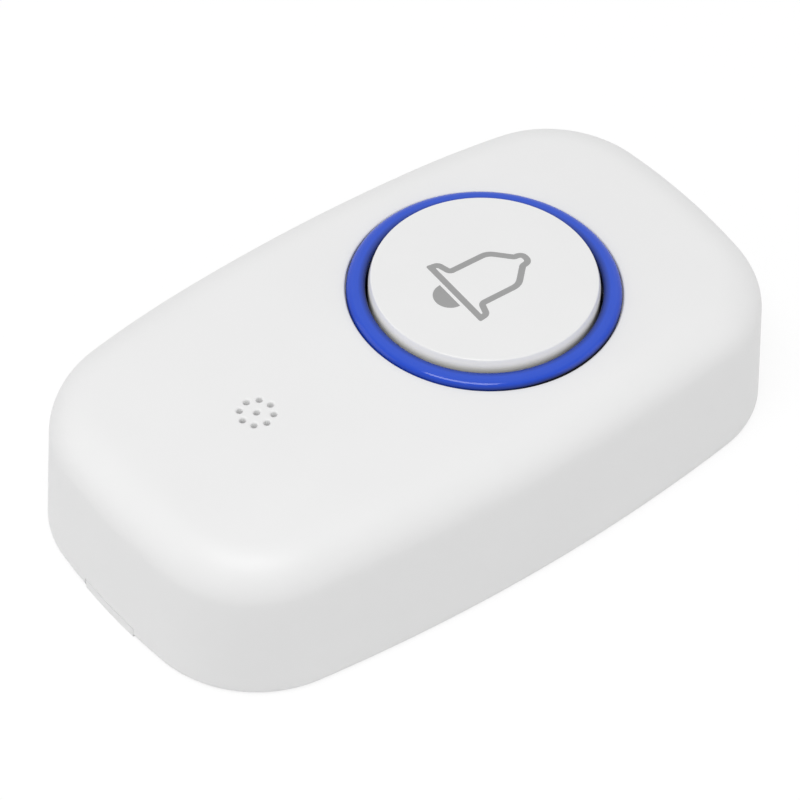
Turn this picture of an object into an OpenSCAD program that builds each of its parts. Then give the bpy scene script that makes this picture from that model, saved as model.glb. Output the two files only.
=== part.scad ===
// Push unit of a wireless doorbell: moulded shell, lit ring, round push button,
// radio board with its battery, and the wall plate that closes it from behind.
// Millimetres. +Y runs along the length towards the button, +Z points away from the wall.
// The origin is the middle of the rear face.

/* [Shell] */
// Width over the bowed long sides
body_w = 48; // [46:0.5:60]
// Length over the bowed ends
body_l = 84; // [80:0.5:110]
// Height of the shell's top above the wall
body_h = 19.3; // [18.5:0.1:24]
// Radius of the bow in the long sides
side_bow_r = 219; // [160:1:400]
// Radius of the bow in the ends
end_bow_r = 85.5; // [65:0.5:160]
// Radius of the four corners, seen from the front
corner_r = 14.2; // [12:0.1:16]
// Radius of the rounded edge between walls and top
edge_r = 5.2; // [3.5:0.1:6]
// Draft of the walls, in degrees
draft = 2.3; // [0.5:0.1:3]
// Thickness of the walls
wall = 1.8; // [1.5:0.1:2.2]
// Thickness of the top
top_t = 2.2; // [1.6:0.1:2.8]
// Chamfer on the rim that faces the wall
rim_chamfer = 0.3; // [0.1:0.05:0.5]
// Distance of the rim from the wall
rim_lift = 0.3; // [0.1:0.05:0.6]

/* [Sound holes] */
// Distance of the hole pattern from the lower end
sound_from_end = 20.5; // [20:0.1:24]
// Number of holes on the circle
sound_count = 8; // [6:1:10]
// Radius of the circle of holes
sound_circle_r = 1.9; // [1.6:0.1:2.4]
// Diameter of each hole
sound_hole_d = 0.8; // [0.5:0.05:1]
// Chamfer at the mouth of each hole
sound_chamfer = 0.2; // [0.05:0.05:0.25]
// Thickness of the top where the holes pass
sound_web = 0.9; // [0.6:0.05:1.4]

/* [Button cap] */
// Distance of the button's centre from the upper end
button_from_end = 31.7; // [30.5:0.1:34]
// Radius of the cap
cap_r = 13.1; // [11.5:0.1:14]
// Height of the cap above the shell's top
cap_proud = 2; // [1.4:0.1:3]
// Radius of the cap's rounded rim
cap_edge_r = 0.8; // [0.3:0.1:1.2]
// Thickness of the cap's top
cap_top_t = 1.6; // [1.2:0.1:2.2]
// Thickness of the cap's skirt
cap_wall = 1.6; // [1.2:0.1:2.2]
// Travel of the button
press_travel = 0.8; // [0.5:0.05:1]
// Thickness of the lugs that trap the cap under the ring
lug_t = 1.2; // [0.8:0.1:1.6]
// Angle that each of the four lugs covers, in degrees
lug_angle = 44; // [30:1:48]
// Thickness of the ribs under the cap's top
cap_rib_t = 1; // [0.6:0.1:1.6]
// Depth of the ribs under the cap's top
cap_rib_h = 1.4; // [0.6:0.1:2]

/* [Light ring] */
// Width of the ring's visible band
ring_band = 2.2; // [1.8:0.05:2.8]
// Height of the ring above the shell's top
ring_proud = 0.8; // [0.5:0.05:1]
// Width of the bevel round the ring's outside
ring_bevel_w = 0.6; // [0.3:0.05:0.8]
// Height of that bevel
ring_bevel_h = 0.75; // [0.3:0.05:0.9]
// Radius of the shoulder between the ring's top and its bevel
ring_shoulder_r = 0.3; // [0.1:0.05:0.6]
// Radius of the ring's rounded inner edge
ring_inner_r = 0.45; // [0.2:0.05:0.8]
// Overlap of the ring's lip on the shell
ring_lip = 0.45; // [0.4:0.05:0.8]
// Depth of the shell's recess that seats the lip
ring_recess = 0.5; // [0.2:0.05:0.8]
// Width of the groove left round the lip
ring_groove = 0.1; // [0.05:0.05:0.5]
// Depth of the ring's tube below the shell's top
ring_depth = 3.9; // [3.2:0.1:4.2]
// Angle that each of the four light pipes covers, in degrees
pipe_angle = 26; // [16:1:30]
// Wall of the collar that guides ring and cap
collar_wall = 1.5; // [1:0.1:2]

/* [Return spring] */
// Mean radius of the coil
spring_r = 4.9; // [4.7:0.1:5.5]
// Diameter of the wire
spring_wire = 0.5; // [0.3:0.05:0.6]
// Number of turns
spring_turns = 6; // [4:1:8]

/* [Switch] */
// Side of the switch's square body
switch_w = 6; // [5:0.1:6.2]
// Height of the switch's body with its cover
switch_h = 3.4; // [2.8:0.1:4]
// Thickness of the steel cover
switch_cover_t = 0.3; // [0.2:0.05:0.5]
// Radius of the plunger
plunger_r = 1.7; // [1.2:0.1:1.9]
// Height of the plunger above the cover
plunger_h = 1.4; // [1:0.1:1.8]
// Travel of the plunger
plunger_travel = 0.25; // [0.2:0.05:0.35]
// Width of the plunger's flange under the cover
plunger_flange = 0.5; // [0.3:0.05:0.6]
// Thickness of that flange
plunger_flange_t = 0.5; // [0.3:0.05:0.7]

/* [Circuit board] */
// Thickness of the board
board_t = 1.6; // [1:0.1:1.8]
// Length of the bosses that hold the board below the shell's top
boss_len = 7.5; // [7.2:0.1:8.5]
// Radius of the bosses
boss_r = 2.6; // [2.2:0.1:3]
// Distance of the bosses from the long sides
boss_from_side = 7.5; // [7:0.1:9]
// Distance of the lower bosses above the sound holes
boss_above_sound = 6.5; // [6:0.1:8]
// Distance of the upper bosses from the upper end
boss_from_end = 13; // [12.5:0.1:15]
// Radius of the screws that hold the board
screw_r = 1; // [0.8:0.05:1.2]
// Length of screw in the boss
screw_bite = 4.5; // [3:0.1:5.5]
// Radius of the screw heads
screw_head_r = 1.9; // [1.6:0.05:2.2]
// Height of the screw heads
screw_head_h = 1.3; // [0.8:0.1:1.6]

/* [Parts on the board] */
// Length of each diode package
led_l = 3.5; // [2.8:0.1:4]
// Width of each diode package
led_w = 2.8; // [2:0.1:3.2]
// Height of each diode package
led_h = 1.9; // [1.2:0.1:2.2]
// Length of the encoder chip
chip_l = 8.7; // [7:0.1:9.5]
// Width of the encoder chip
chip_w = 3.9; // [3:0.1:4.2]
// Height of the encoder chip
chip_h = 1.5; // [1.2:0.1:2]
// Leads on each long side of the chip
chip_leads = 7; // [4:1:7]
// Spacing of those leads
lead_pitch = 1.27; // [0.8:0.01:1.3]
// Radius of the resonator's can
resonator_r = 4.1; // [3.5:0.1:4.3]
// Height of the resonator's can
resonator_h = 3.4; // [2.5:0.1:4]
// Mean radius of the antenna's coil
antenna_r = 2.3; // [1.8:0.1:2.4]
// Diameter of the antenna's wire
antenna_wire = 0.6; // [0.4:0.05:0.7]
// Pitch of the antenna's coil
antenna_pitch = 1.3; // [1.15:0.05:1.5]
// Full turns of the antenna's coil, before its last half turn
antenna_turns = 12; // [8:1:12]
// Radius of the electrolytic can
storage_r = 2.5; // [2:0.1:2.6]
// Height of the electrolytic can
storage_h = 5.4; // [4:0.1:5.8]
// Length of a surface-mounted chip part
chip_part_l = 1.6; // [1:0.1:2]
// Width of a surface-mounted chip part
chip_part_w = 0.8; // [0.5:0.1:1]
// Height of a surface-mounted chip part
chip_part_h = 0.5; // [0.3:0.05:0.8]

/* [Buzzer] */
// Radius of the buzzer
buzzer_r = 4.2; // [3.8:0.1:4.5]
// Height of the buzzer
buzzer_h = 5.5; // [4:0.1:6]
// Radius of the buzzer's sound port
buzzer_port_r = 1.2; // [0.8:0.1:1.6]
// Width of the foam seal
seal_w = 1.5; // [1:0.1:1.8]

/* [Battery] */
// Diameter of the cell
cell_d = 10.3; // [10:0.1:10.5]
// Length of the cell's can
cell_l = 27.5; // [26:0.1:28]
// Radius of the cell's nub
nub_r = 2; // [1.5:0.1:2.5]
// Length of the cell's nub
nub_l = 1; // [0.6:0.1:1.4]
// Shift of the cell towards its plus end
cell_shift = 0.3; // [0:0.1:0.6]
// Gap between buzzer and cell
bay_gap = 0.4; // [0.3:0.1:0.8]
// Thickness of the contact plates
contact_t = 0.4; // [0.3:0.05:0.6]
// Width of the contact plates
contact_w = 4; // [3:0.1:5]
// Height of the contact plates
contact_h = 6; // [5:0.1:7]
// Compressed length of the battery spring
cell_spring_l = 1.9; // [1.8:0.1:2.4]
// Wire of the battery spring
cell_spring_wire = 0.4; // [0.3:0.05:0.5]
// Thickness of the saddle ribs
saddle_t = 1.4; // [1:0.1:2]
// Distance of each saddle rib from the middle
saddle_x = 8; // [6:0.5:10]

/* [Wall plate] */
// Thickness of the plate
plate_t = 2; // [1.6:0.1:2.4]
// Height of the lip round the plate
lip_h = 1.5; // [0.8:0.1:1.6]
// Thickness of that lip
lip_t = 1.2; // [0.8:0.1:1.6]
// Distance between the two wall screws
wall_screw_span = 44; // [38:0.5:46]
// Distance of their middle above the plate's middle
wall_screw_mid = 4; // [2:0.1:6]
// Radius of the wall screw holes
wall_screw_r = 2.1; // [1.6:0.05:2.5]
// Radius of the recess for a wall screw's head
wall_head_r = 4.2; // [3.6:0.1:4.6]
// Depth of that recess
wall_head_depth = 0.9; // [0.4:0.1:1.1]
// Width of the pry tab
tab_w = 9; // [6:0.5:12]
// Height of the pry tab
tab_h = 1.3; // [1:0.1:1.5]
// Width of each snap hook
hook_w = 6; // [4:0.5:7]
// Height of each snap hook above the wall
hook_h = 6.5; // [6:0.1:6.8]
// Thickness of each snap hook
hook_t = 1.2; // [0.9:0.1:1.4]
// Reach of each hook's barb
barb = 0.8; // [0.6:0.05:0.9]
// Distance of the lower hooks from the lower end
hook_from_low_end = 30; // [28:0.5:34]
// Distance of the upper hooks from the upper end
hook_from_high_end = 20; // [18:0.5:24]

/* [Clearances] */
// Gap between cap and ring
cap_gap = 0.3; // [0.25:0.05:0.8]
// Gap between the cap's lugs and the collar
lug_gap = 0.3; // [0.25:0.05:0.5]
// Gap between the ring's tube and its seat
seat_fit = 0.05; // [0.02:0.01:0.1]
// Gap between flat faces that meet
rest_gap = 0.05; // [0.02:0.01:0.1]
// Gap between light pipes and diodes
pipe_gap = 0.3; // [0.2:0.05:0.6]
// Gap between the plunger and its bore
plunger_fit = 0.1; // [0.05:0.01:0.15]
// Gap between the wall plate and the shell
plate_gap = 0.2; // [0.1:0.05:0.3]
// Gap between the board and the shell's walls
board_gap = 0.5; // [0.3:0.05:0.8]
// Gap round wires and tails in the board
wire_gap = 0.15; // [0.1:0.05:0.2]
// Gap between a screw and its boss
screw_fit = 0.02; // [0.01:0.01:0.05]
// Gap round the cell in its saddles
cell_gap = 0.2; // [0.1:0.05:0.3]

/* [Hidden] */
$fn = 96;
// Smoothness of the wide bows
bow_fn = 720;
// Overlap of solids that are fused
bond = 0.5;
// How far a cut runs past what it cuts
past = 1;
// Rings of a wound wire in one turn
turn_steps = 8;

half_w = body_w / 2;
half_l = body_l / 2;
slope = tan(draft);

// Centres of the bows, and of the corner that touches both of them from inside
side_c = [half_w - side_bow_r, 0];
end_c = [0, half_l - end_bow_r];
bows = end_c - side_c;
bows_d = norm(bows);
bows_u = bows / bows_d;
corner_to_side = side_bow_r - corner_r;
corner_to_end = end_bow_r - corner_r;
corner_along = (pow(corner_to_side, 2) - pow(corner_to_end, 2) + pow(bows_d, 2)) / (2 * bows_d);
corner_across = sqrt(pow(corner_to_side, 2) - pow(corner_along, 2));
corner_c = side_c + corner_along * bows_u + corner_across * [-bows_u.y, bows_u.x];
// Half angles of the two bows
side_a = atan2(corner_c.y, corner_c.x - side_c.x);
end_a = atan2(corner_c.x, corner_c.y - end_c.y);
// The corners stand a hair proud of the bows' ends and reach this angle into the bows,
// so that their faces cross at a slight angle and fuse
corner_proud = 0.04;
corner_lap = 10;
// The rounded top edge runs out at a slight angle for the same reason
edge_lift = 0.03;
// Depth of the band that is carried round the outline, past the corners' own centres
band_overlap = 4;
band = corner_r + band_overlap;
// The block in the middle stops short of the corners' centres
core_short = 1;
core = corner_c - [core_short, core_short];

// Heights, from the shell's top down
ceiling = body_h - top_t;
cap_top = body_h + cap_proud;
cap_under = cap_top - cap_top_t;
lip_z = body_h - ring_recess;
tube_z = body_h - ring_depth;
lug_top = tube_z - rest_gap;
skirt_z = lug_top - lug_t;
collar_room = 0.4;
collar_z = skirt_z - press_travel - collar_room;
board_top = ceiling - boss_len;
board_z = board_top - board_t;
pipe_z = board_top + led_h + pipe_gap;
cover_top = board_top + switch_h;
plunger_top = cover_top + plunger_h;
// The button moves this far before it meets the plunger
free_play = press_travel - plunger_travel;
post_z = plunger_top + free_play + rest_gap;

// Places along the body
button_y = half_l - button_from_end;
sound_y = sound_from_end - half_l;
sound_margin = 0.5;
sound_pocket_r = sound_circle_r + sound_hole_d / 2 + sound_margin;
cell_r = cell_d / 2;
cell_y = sound_y - buzzer_r - bay_gap - cell_r;
cradle_gap = 0.4;
cell_z = plate_t + cradle_gap + cell_r;
board_end_gap = 0.3;
board_y0 = cell_y + cell_r + board_end_gap;

// Radii round the button
ring_in_r = cap_r + cap_gap;
ring_out_r = ring_in_r + ring_band;
seat_r = ring_out_r - ring_lip;
tube_r = seat_r - seat_fit;
lug_r = seat_r - lug_gap;
// Turns of the lugs, and of the light pipes, diodes and ribs between them
lug_turns = [0, 90, 180, 270];
pipe_turns = [45, 135, 225, 315];
collar_r = seat_r + collar_wall;
pipe_mid_r = (ring_in_r + tube_r) / 2;
spring_out_r = spring_r + spring_wire / 2;
// The boss clears the straight runs between the coil's rings
boss_in_spring = 0.25;
cap_boss_r = spring_r * cos(180 / turn_steps) - spring_wire / 2 - boss_in_spring;
cap_boss_h = 1.2;
rib_from_spring = 0.5;
post_r = 1.6;

// Board screws and bosses
boss_x = half_w - boss_from_side;
boss_y = [sound_y + boss_above_sound, half_l - boss_from_end];
boss_places = [for (y = boss_y) for (sx = [-1, 1]) [sx * boss_x, y]];
pilot_r = screw_r + screw_fit;
screw_hole_gap = 0.2;
screw_tip = 1;
screw_head_edge = 0.5;
cross_l = 1.8;
cross_w = 0.45;
cross_d = 0.6;

// Places of the parts on the board
led_rim = 0.3;
led_dish_depth = 0.4;
chip_from_button = 9.2;
chip_c = [0, button_y - chip_from_button];
chip_taper = 0.15;
chip_dot_r = 0.4;
chip_dot_depth = 0.1;
chip_dot_from_edge = 1;
lead_w = 0.42;
lead_t = 0.2;
lead_reach = 1.05;
lead_foot = 0.5;
resonator_from_middle = 9.4;
resonator_above_sound = 0.8;
resonator_c = [resonator_from_middle, sound_y + resonator_above_sound];
resonator_turns = [90, 210, 330];
resonator_flange = 0.45;
resonator_flange_t = 0.5;
resonator_edge = 0.4;
resonator_lead_r = 0.22;
resonator_lead_circle = 2.5;
storage_from_middle = 10;
storage_above_sound = 0.6;
storage_c = [-storage_from_middle, sound_y + storage_above_sound];
storage_base_t = 0.6;
storage_base_lip = 0.15;
transistor_from_button = 9;
transistor_c = [transistor_from_button, button_y];
transistor_size = [2.9, 1.3, 1];
transistor_pitch = 1.9;
resistor_from_button = 8;
resistor_pitch = 2.6;
resistors_in_row = 4;
resistor_rows = 2;
capacitor_from_button = 6.1;
capacitor_pitch = 2.4;
capacitors_in_row = 3;
// Wires and pins reach this far through the board
solder_len = 0.9;
pin_w = 0.7;
pin_t = 0.3;
pin_from_side = 0.75;
buzzer_pin_r = 0.3;
buzzer_pin_x = 2.5;
port_depth = 1;

// Antenna, lying above the collar's upper side
antenna_lift = 0.3;
antenna_from_collar = 1.2;
antenna_out_r = antenna_r + antenna_wire / 2;
antenna_y = button_y + collar_r + antenna_from_collar + antenna_out_r;
antenna_z = board_top + antenna_out_r + antenna_lift;
// With its last half turn the coil ends on the side away from its start
antenna_all_turns = antenna_turns + 0.5;
antenna_l = antenna_pitch * antenna_all_turns;
antenna_end_z = board_z - solder_len;

// Contacts of the cell
cell_x0 = cell_shift - cell_l / 2;
plus_x = cell_x0 + cell_l + nub_l;
minus_x = cell_x0 - cell_spring_l - contact_t;
tail_in_board = 1.5;
tail_above = 1.2;
backing_t = 1.2;
backing_w = 3;
backing_z = cell_z - contact_h / 2;
nub_edge = 0.3;
can_edge = 0.6;
// The saddle ribs end above the board's edge
saddle_over_board = 0.3;
saddle_z = board_top + saddle_over_board;

// Wall plate and its hooks
plate_inset = wall + (plate_t + lip_h) * slope + plate_gap;
tab_inset = 0.1;
tab_root = 4;
tab_fit = 0.1;
tab_a = asin(tab_w / 2 / end_bow_r);
tab_fit_a = asin((tab_w / 2 + tab_fit) / end_bow_r);
barb_z = 4.4;
barb_h = 1.3;
barb_face = 0.45;
pocket_gap = 0.25;
hook_y = [hook_from_low_end - half_l, half_l - hook_from_high_end];
cradle_h = 1.6;
cradle_w = 8;

// Inner face of a long side at a place along the body and a height
function side_x(y, z) = side_c.x + sqrt(pow(side_bow_r - wall - z * slope, 2) - y * y);
// Outer face of a hook
function hook_x(y) = side_x(abs(y) + hook_w / 2, hook_h) - plate_gap;

// Profile of a drafted wall with a rounded top edge, and its band inwards
module wall_profile(inset, z0, z1, r, chamfer = 0) {
    foot_x = -inset - z0 * slope;
    round_z = z1 - r + edge_lift;
    round_x = -inset - round_z * slope - r / cos(draft);
    mid = [round_x, round_z];
    meet = mid + r * [cos(draft), sin(draft)];
    polygon([
        [-band, z0], [foot_x - chamfer, z0], [foot_x - chamfer * slope, z0 + chamfer],
        meet, [round_x, z1], [-band, z1]
    ]);
    intersection() {
        translate(mid) circle(r);
        polygon([mid, 2 * meet - mid, [round_x + 2 * r, z1], [round_x, z1]]);
    }
}

// Carries a profile round the outline: x = 0 is the outline and -x runs inwards
module carried_round() {
    for (mx = [0, 1], my = [0, 1])
        mirror([mx, 0, 0]) mirror([0, my, 0]) translate(corner_c)
            rotate_extrude(angle = 90 - side_a - end_a + 2 * corner_lap, start = side_a - corner_lap)
                intersection() {
                    translate([corner_r + corner_proud, 0]) children();
                    translate([0, -body_h]) square([body_w, 3 * body_h]);
                }
    for (turn = [0, 180])
        rotate(turn) translate(side_c)
            rotate_extrude(angle = 2 * side_a, start = -side_a, $fn = bow_fn)
                translate([side_bow_r, 0]) children();
    for (turn = [0, 180])
        rotate(turn) translate(end_c)
            rotate_extrude(angle = 2 * end_a, start = 90 - end_a, $fn = bow_fn)
                translate([end_bow_r, 0]) children();
}

// Block that fills the middle of a carried profile
module core_block(z0, z1) {
    translate([-core.x, -core.y, z0]) cube([2 * core.x, 2 * core.y, z1 - z0]);
}

// Straight-sided block with the body's outline, drawn in by an inset
module plan_block(inset, z0, z1) {
    carried_round() translate([-band, z0]) square([band - inset, z1 - z0]);
    core_block(z0, z1);
}

// Sector of a ring, centred on an angle
module ring_sector(r0, r1, z0, z1, mid, wide) {
    rotate_extrude(angle = wide, start = mid - wide / 2)
        translate([r0, z0]) square([r1 - r0, z1 - z0]);
}

// Disc or tube along Z
module post(r, z0, z1) {
    translate([0, 0, z0]) cylinder(r = r, h = z1 - z0);
}

// Box centred on a place, from one height to another
module block(c, size, z0, z1) {
    translate([c.x - size.x / 2, c.y - size.y / 2, z0]) cube([size.x, size.y, z1 - z0]);
}

// Sector of the lower end's rim, for the pry tab and its notch
module end_sector(half_a, inset, root, z0, z1) {
    rotate(180) translate(end_c)
        rotate_extrude(angle = 2 * half_a, start = 90 - half_a, $fn = bow_fn)
            translate([end_bow_r - root, z0]) square([root - inset, z1 - z0]);
}

// Round tube along a path of [point, sideways direction] pairs
module swept_tube(path, r, sides = 6) {
    n = len(path);
    at = [for (p = path) p[0]];
    along = [for (i = [0:n - 1]) at[min(i + 1, n - 1)] - at[max(i - 1, 0)]];
    rings = [
        for (i = [0:n - 1])
            let (t = along[i] / norm(along[i]), b = cross(t, path[i][1]), u = b / norm(b), v = cross(u, t))
                for (k = [0:sides - 1]) at[i] + r * (cos(360 * k / sides) * v + sin(360 * k / sides) * u)
    ];
    skin = [
        for (i = [0:n - 2]) for (k = [0:sides - 1])
            let (a = i * sides + k, b = i * sides + (k + 1) % sides)
                each [[a, b, a + sides], [b, b + sides, a + sides]]
    ];
    last = (n - 1) * sides;
    caps = [
        for (k = [1:sides - 2])
            each [[0, k + 1, k], [last, last + k, last + k + 1]]
    ];
    polyhedron(points = rings, faces = concat(skin, caps));
}

// Least gap of a wound wire to itself, half a turn or more along it
function wire_gap_of(path, steps, wire) = min([
    for (i = [0:len(path) - 1]) for (j = [i + steps / 2:len(path) - 1]) norm(path[i][0] - path[j][0])
]) - wire;

// Path of the return spring: its end turns lie closer than the rest
spring_len = cap_under - board_top - 2 * rest_gap;
spring_rise = spring_len - spring_wire;
spring_end_rise = 1.1;
spring_mid_rise = (spring_rise - 2 * spring_end_rise) / (spring_turns - 2);
function spring_height(turn) =
    turn < 1 ? turn * spring_end_rise
    : turn > spring_turns - 1 ? spring_rise - (spring_turns - turn) * spring_end_rise
    : spring_end_rise + (turn - 1) * spring_mid_rise;
spring_path = [
    for (i = [0:spring_turns * turn_steps])
        let (turn = i / turn_steps, out = [cos(360 * turn), sin(360 * turn), 0])
            [spring_r * out + [0, 0, spring_height(turn)], out]
];

// Path of the antenna: up out of the board, round the coil, and down again
antenna_path = concat(
    [[[0, antenna_r, antenna_end_z - antenna_z], [0, 1, 0]]],
    [
        for (i = [0:antenna_all_turns * turn_steps])
            let (turn = i / turn_steps, out = [0, cos(360 * turn), sin(360 * turn)])
                [antenna_r * out + [turn * antenna_pitch, 0, 0], out]
    ],
    [[[antenna_l, -antenna_r, antenna_end_z - antenna_z], [0, -1, 0]]]
);

// Path of the battery spring, a cone that winds from its plate to the cell
cell_spring_turns = 2;
cell_spring_wide = 2.6;
cell_spring_narrow = 1.2;
cell_spring_rise = cell_spring_l - cell_spring_wire - 2 * rest_gap;
cell_spring_path = [
    for (i = [0:cell_spring_turns * turn_steps])
        let (
            turn = i / turn_steps,
            part = turn / cell_spring_turns,
            out = [0, cos(360 * turn), sin(360 * turn)],
            r = cell_spring_wide + (cell_spring_narrow - cell_spring_wide) * part
        )
            [r * out + [part * cell_spring_rise, 0, 0], out]
];

echo(return_spring_gap = wire_gap_of(spring_path, turn_steps, spring_wire));
echo(antenna_gap = wire_gap_of(antenna_path, turn_steps, antenna_wire));
echo(battery_spring_gap = wire_gap_of(cell_spring_path, turn_steps, cell_spring_wire));

// Rib that holds the cell from above, with a round seat
module saddle(x) {
    difference() {
        block([x, cell_y], [saddle_t, cell_d + 2 * (cell_gap + bond)], saddle_z, ceiling + bond);
        translate([x, cell_y, cell_z]) rotate([0, 90, 0])
            cylinder(r = cell_r + cell_gap, h = saddle_t + 2 * past, center = true);
    }
}

// Room in a long side for a hook's barb
module hook_pocket(y) {
    reach = barb + pocket_gap;
    translate([hook_x(y), y - hook_w / 2 - pocket_gap, barb_z - pocket_gap])
        cube([reach, hook_w + 2 * pocket_gap, barb_h + 2 * pocket_gap]);
}

// Hole for the sounder, opened a little at its mouth
module sound_hole() {
    hole_r = sound_hole_d / 2;
    post(hole_r, ceiling - past, body_h + past);
    translate([0, 0, body_h - sound_chamfer])
        cylinder(r1 = hole_r, r2 = hole_r + sound_chamfer + past, h = sound_chamfer + past);
}

module front_shell() {
    color([0.93, 0.93, 0.93])
        difference() {
            union() {
                difference() {
                    union() {
                        carried_round() wall_profile(0, rim_lift, body_h, edge_r, rim_chamfer);
                        core_block(rim_lift, body_h);
                    }
                    carried_round() wall_profile(wall, -past, ceiling, edge_r - wall);
                    core_block(-past, ceiling);
                }
                translate([0, button_y, 0]) post(collar_r, collar_z, ceiling + bond);
                for (p = boss_places) translate(p) post(boss_r, board_top, ceiling + bond);
                for (sx = [-1, 1]) saddle(sx * saddle_x);
                for (x = [plus_x + contact_t + backing_t / 2 + rest_gap, minus_x - backing_t / 2 - rest_gap])
                    block([x, cell_y], [backing_t, backing_w], backing_z, ceiling + bond);
            }
            translate([0, button_y, 0]) {
                post(seat_r, collar_z - past, body_h + past);
                post(ring_out_r + ring_groove, lip_z, body_h + past);
            }
            for (p = boss_places) translate(p) post(pilot_r, board_top - past, ceiling);
            translate([0, sound_y, 0]) {
                post(sound_pocket_r, ceiling - past, body_h - sound_web);
                sound_hole();
                for (i = [0:sound_count - 1])
                    rotate(360 * i / sound_count) translate([sound_circle_r, 0]) sound_hole();
            }
            for (y = hook_y) for (mx = [0, 1]) mirror([mx, 0, 0]) hook_pocket(y);
            end_sector(tab_fit_a, -past, tab_root, -past, tab_h + tab_fit);
        }
}

// Hook with a barb that snaps into a long side
module hook(y) {
    x = hook_x(y);
    translate([x - hook_t, y - hook_w / 2, plate_t - bond]) cube([hook_t, hook_w, hook_h - plate_t + bond]);
    translate([x, y + hook_w / 2, barb_z]) rotate([90, 0, 0])
        linear_extrude(hook_w)
            polygon([[-bond, 0], [barb, 0], [barb, barb_face], [0, barb_h], [-bond, barb_h]]);
}

// Rib that carries the cell from below, with a round seat
module cradle(x) {
    difference() {
        block([x, cell_y], [saddle_t, cradle_w], plate_t - bond, plate_t + cradle_h);
        translate([x, cell_y, cell_z]) rotate([0, 90, 0])
            cylinder(r = cell_r + cell_gap, h = saddle_t + 2 * past, center = true);
    }
}

module rear_plate() {
    color([0.9, 0.9, 0.9])
        difference() {
            union() {
                difference() {
                    plan_block(plate_inset, 0, plate_t + lip_h);
                    plan_block(plate_inset + lip_t, plate_t, plate_t + lip_h + past);
                }
                for (y = hook_y) for (mx = [0, 1]) mirror([mx, 0, 0]) hook(y);
                for (sx = [-1, 1]) cradle(sx * saddle_x);
                end_sector(tab_a, tab_inset, tab_root, 0, tab_h);
            }
            for (sy = [-1, 1]) translate([0, wall_screw_mid + sy * wall_screw_span / 2, 0]) {
                post(wall_screw_r, -past, plate_t + past);
                post(wall_head_r, plate_t - wall_head_depth, plate_t + past);
            }
        }
}

module light_ring() {
    ring_top = body_h + ring_proud;
    inner = [ring_in_r + ring_inner_r, ring_top - ring_inner_r];
    bevel_top = [ring_out_r - ring_bevel_w, ring_top];
    bevel_a = atan2(ring_bevel_h, ring_bevel_w);
    // The shoulder's arc touches top and bevel equally far from their corner
    reach = ring_shoulder_r * tan(bevel_a / 2);
    on_top = bevel_top - [reach, 0];
    on_bevel = bevel_top + reach * [cos(bevel_a), -sin(bevel_a)];
    shoulder = on_top - [0, ring_shoulder_r];
    color([0.26, 0.37, 0.8])
        translate([0, button_y, 0]) {
            rotate_extrude() {
                translate([ring_in_r, tube_z]) square([tube_r - ring_in_r, lip_z - tube_z]);
                polygon([
                    [ring_in_r, lip_z], [ring_out_r, lip_z], [ring_out_r, ring_top - ring_bevel_h],
                    on_bevel, shoulder, on_top, [inner.x, ring_top], inner, [ring_in_r, inner.y]
                ]);
                intersection() {
                    translate(shoulder) circle(ring_shoulder_r);
                    polygon([shoulder, on_bevel, bevel_top, on_top]);
                }
                intersection() {
                    translate(inner) circle(ring_inner_r);
                    translate([ring_in_r, inner.y]) square(ring_inner_r);
                }
            }
            for (a = pipe_turns) ring_sector(ring_in_r, tube_r, pipe_z, tube_z + bond, a, pipe_angle);
        }
}

module button_cap() {
    rim = [cap_r - cap_edge_r, cap_top - cap_edge_r];
    inner_r = cap_r - cap_wall;
    rib_r0 = spring_out_r + rib_from_spring;
    color([0.92, 0.92, 0.92])
        translate([0, button_y, 0]) {
            rotate_extrude() {
                polygon([
                    [0, cap_under], [inner_r, cap_under], [inner_r, skirt_z], [cap_r, skirt_z],
                    [cap_r, rim.y], rim, [rim.x, cap_top], [0, cap_top]
                ]);
                intersection() {
                    translate(rim) circle(cap_edge_r);
                    translate(rim) square(cap_edge_r);
                }
            }
            for (a = lug_turns) ring_sector(cap_r - bond, lug_r, skirt_z, lug_top, a, lug_angle);
            post(cap_boss_r, cap_under - cap_boss_h, cap_under + bond);
            post(post_r, post_z, cap_under + bond);
            for (a = pipe_turns) rotate(a)
                translate([rib_r0, -cap_rib_t / 2, cap_under - cap_rib_h])
                    cube([inner_r - rib_r0 + bond, cap_rib_t, cap_rib_h + bond]);
        }
}

module return_spring() {
    color([0.7, 0.7, 0.72])
        translate([0, button_y, board_top + rest_gap + spring_wire / 2])
            swept_tube(spring_path, spring_wire / 2);
}

module switch_base() {
    recess_r = plunger_r + plunger_flange + plunger_fit;
    base_top = cover_top - switch_cover_t;
    recess_z = base_top - plunger_flange_t - plunger_travel - 2 * rest_gap;
    color([0.12, 0.12, 0.13])
        translate([0, button_y, 0]) difference() {
            block([0, 0], [switch_w, switch_w], board_top, base_top);
            post(recess_r, recess_z, base_top + past);
        }
}

module switch_cover() {
    color([0.75, 0.75, 0.76])
        translate([0, button_y, 0]) difference() {
            block([0, 0], [switch_w, switch_w], cover_top - switch_cover_t, cover_top);
            post(plunger_r + plunger_fit, board_top, cover_top + past);
        }
}

module switch_plunger() {
    flange_top = cover_top - switch_cover_t - rest_gap;
    color([0.1, 0.1, 0.1])
        translate([0, button_y, 0]) {
            post(plunger_r, flange_top - plunger_flange_t, plunger_top);
            post(plunger_r + plunger_flange, flange_top - plunger_flange_t, flange_top);
        }
}

// Places of the switch's four pins
pin_places = [
    for (sx = [-1, 1]) for (sy = [-1, 1])
        [sx * (switch_w / 2 + pin_t / 2), button_y + sy * (switch_w / 2 - pin_from_side)]
];

module switch_pins() {
    pin_top = board_top + switch_h / 2;
    color([0.78, 0.78, 0.78])
        for (p = pin_places) block(p, [pin_t, pin_w], board_z - solder_len, pin_top);
}

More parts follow.
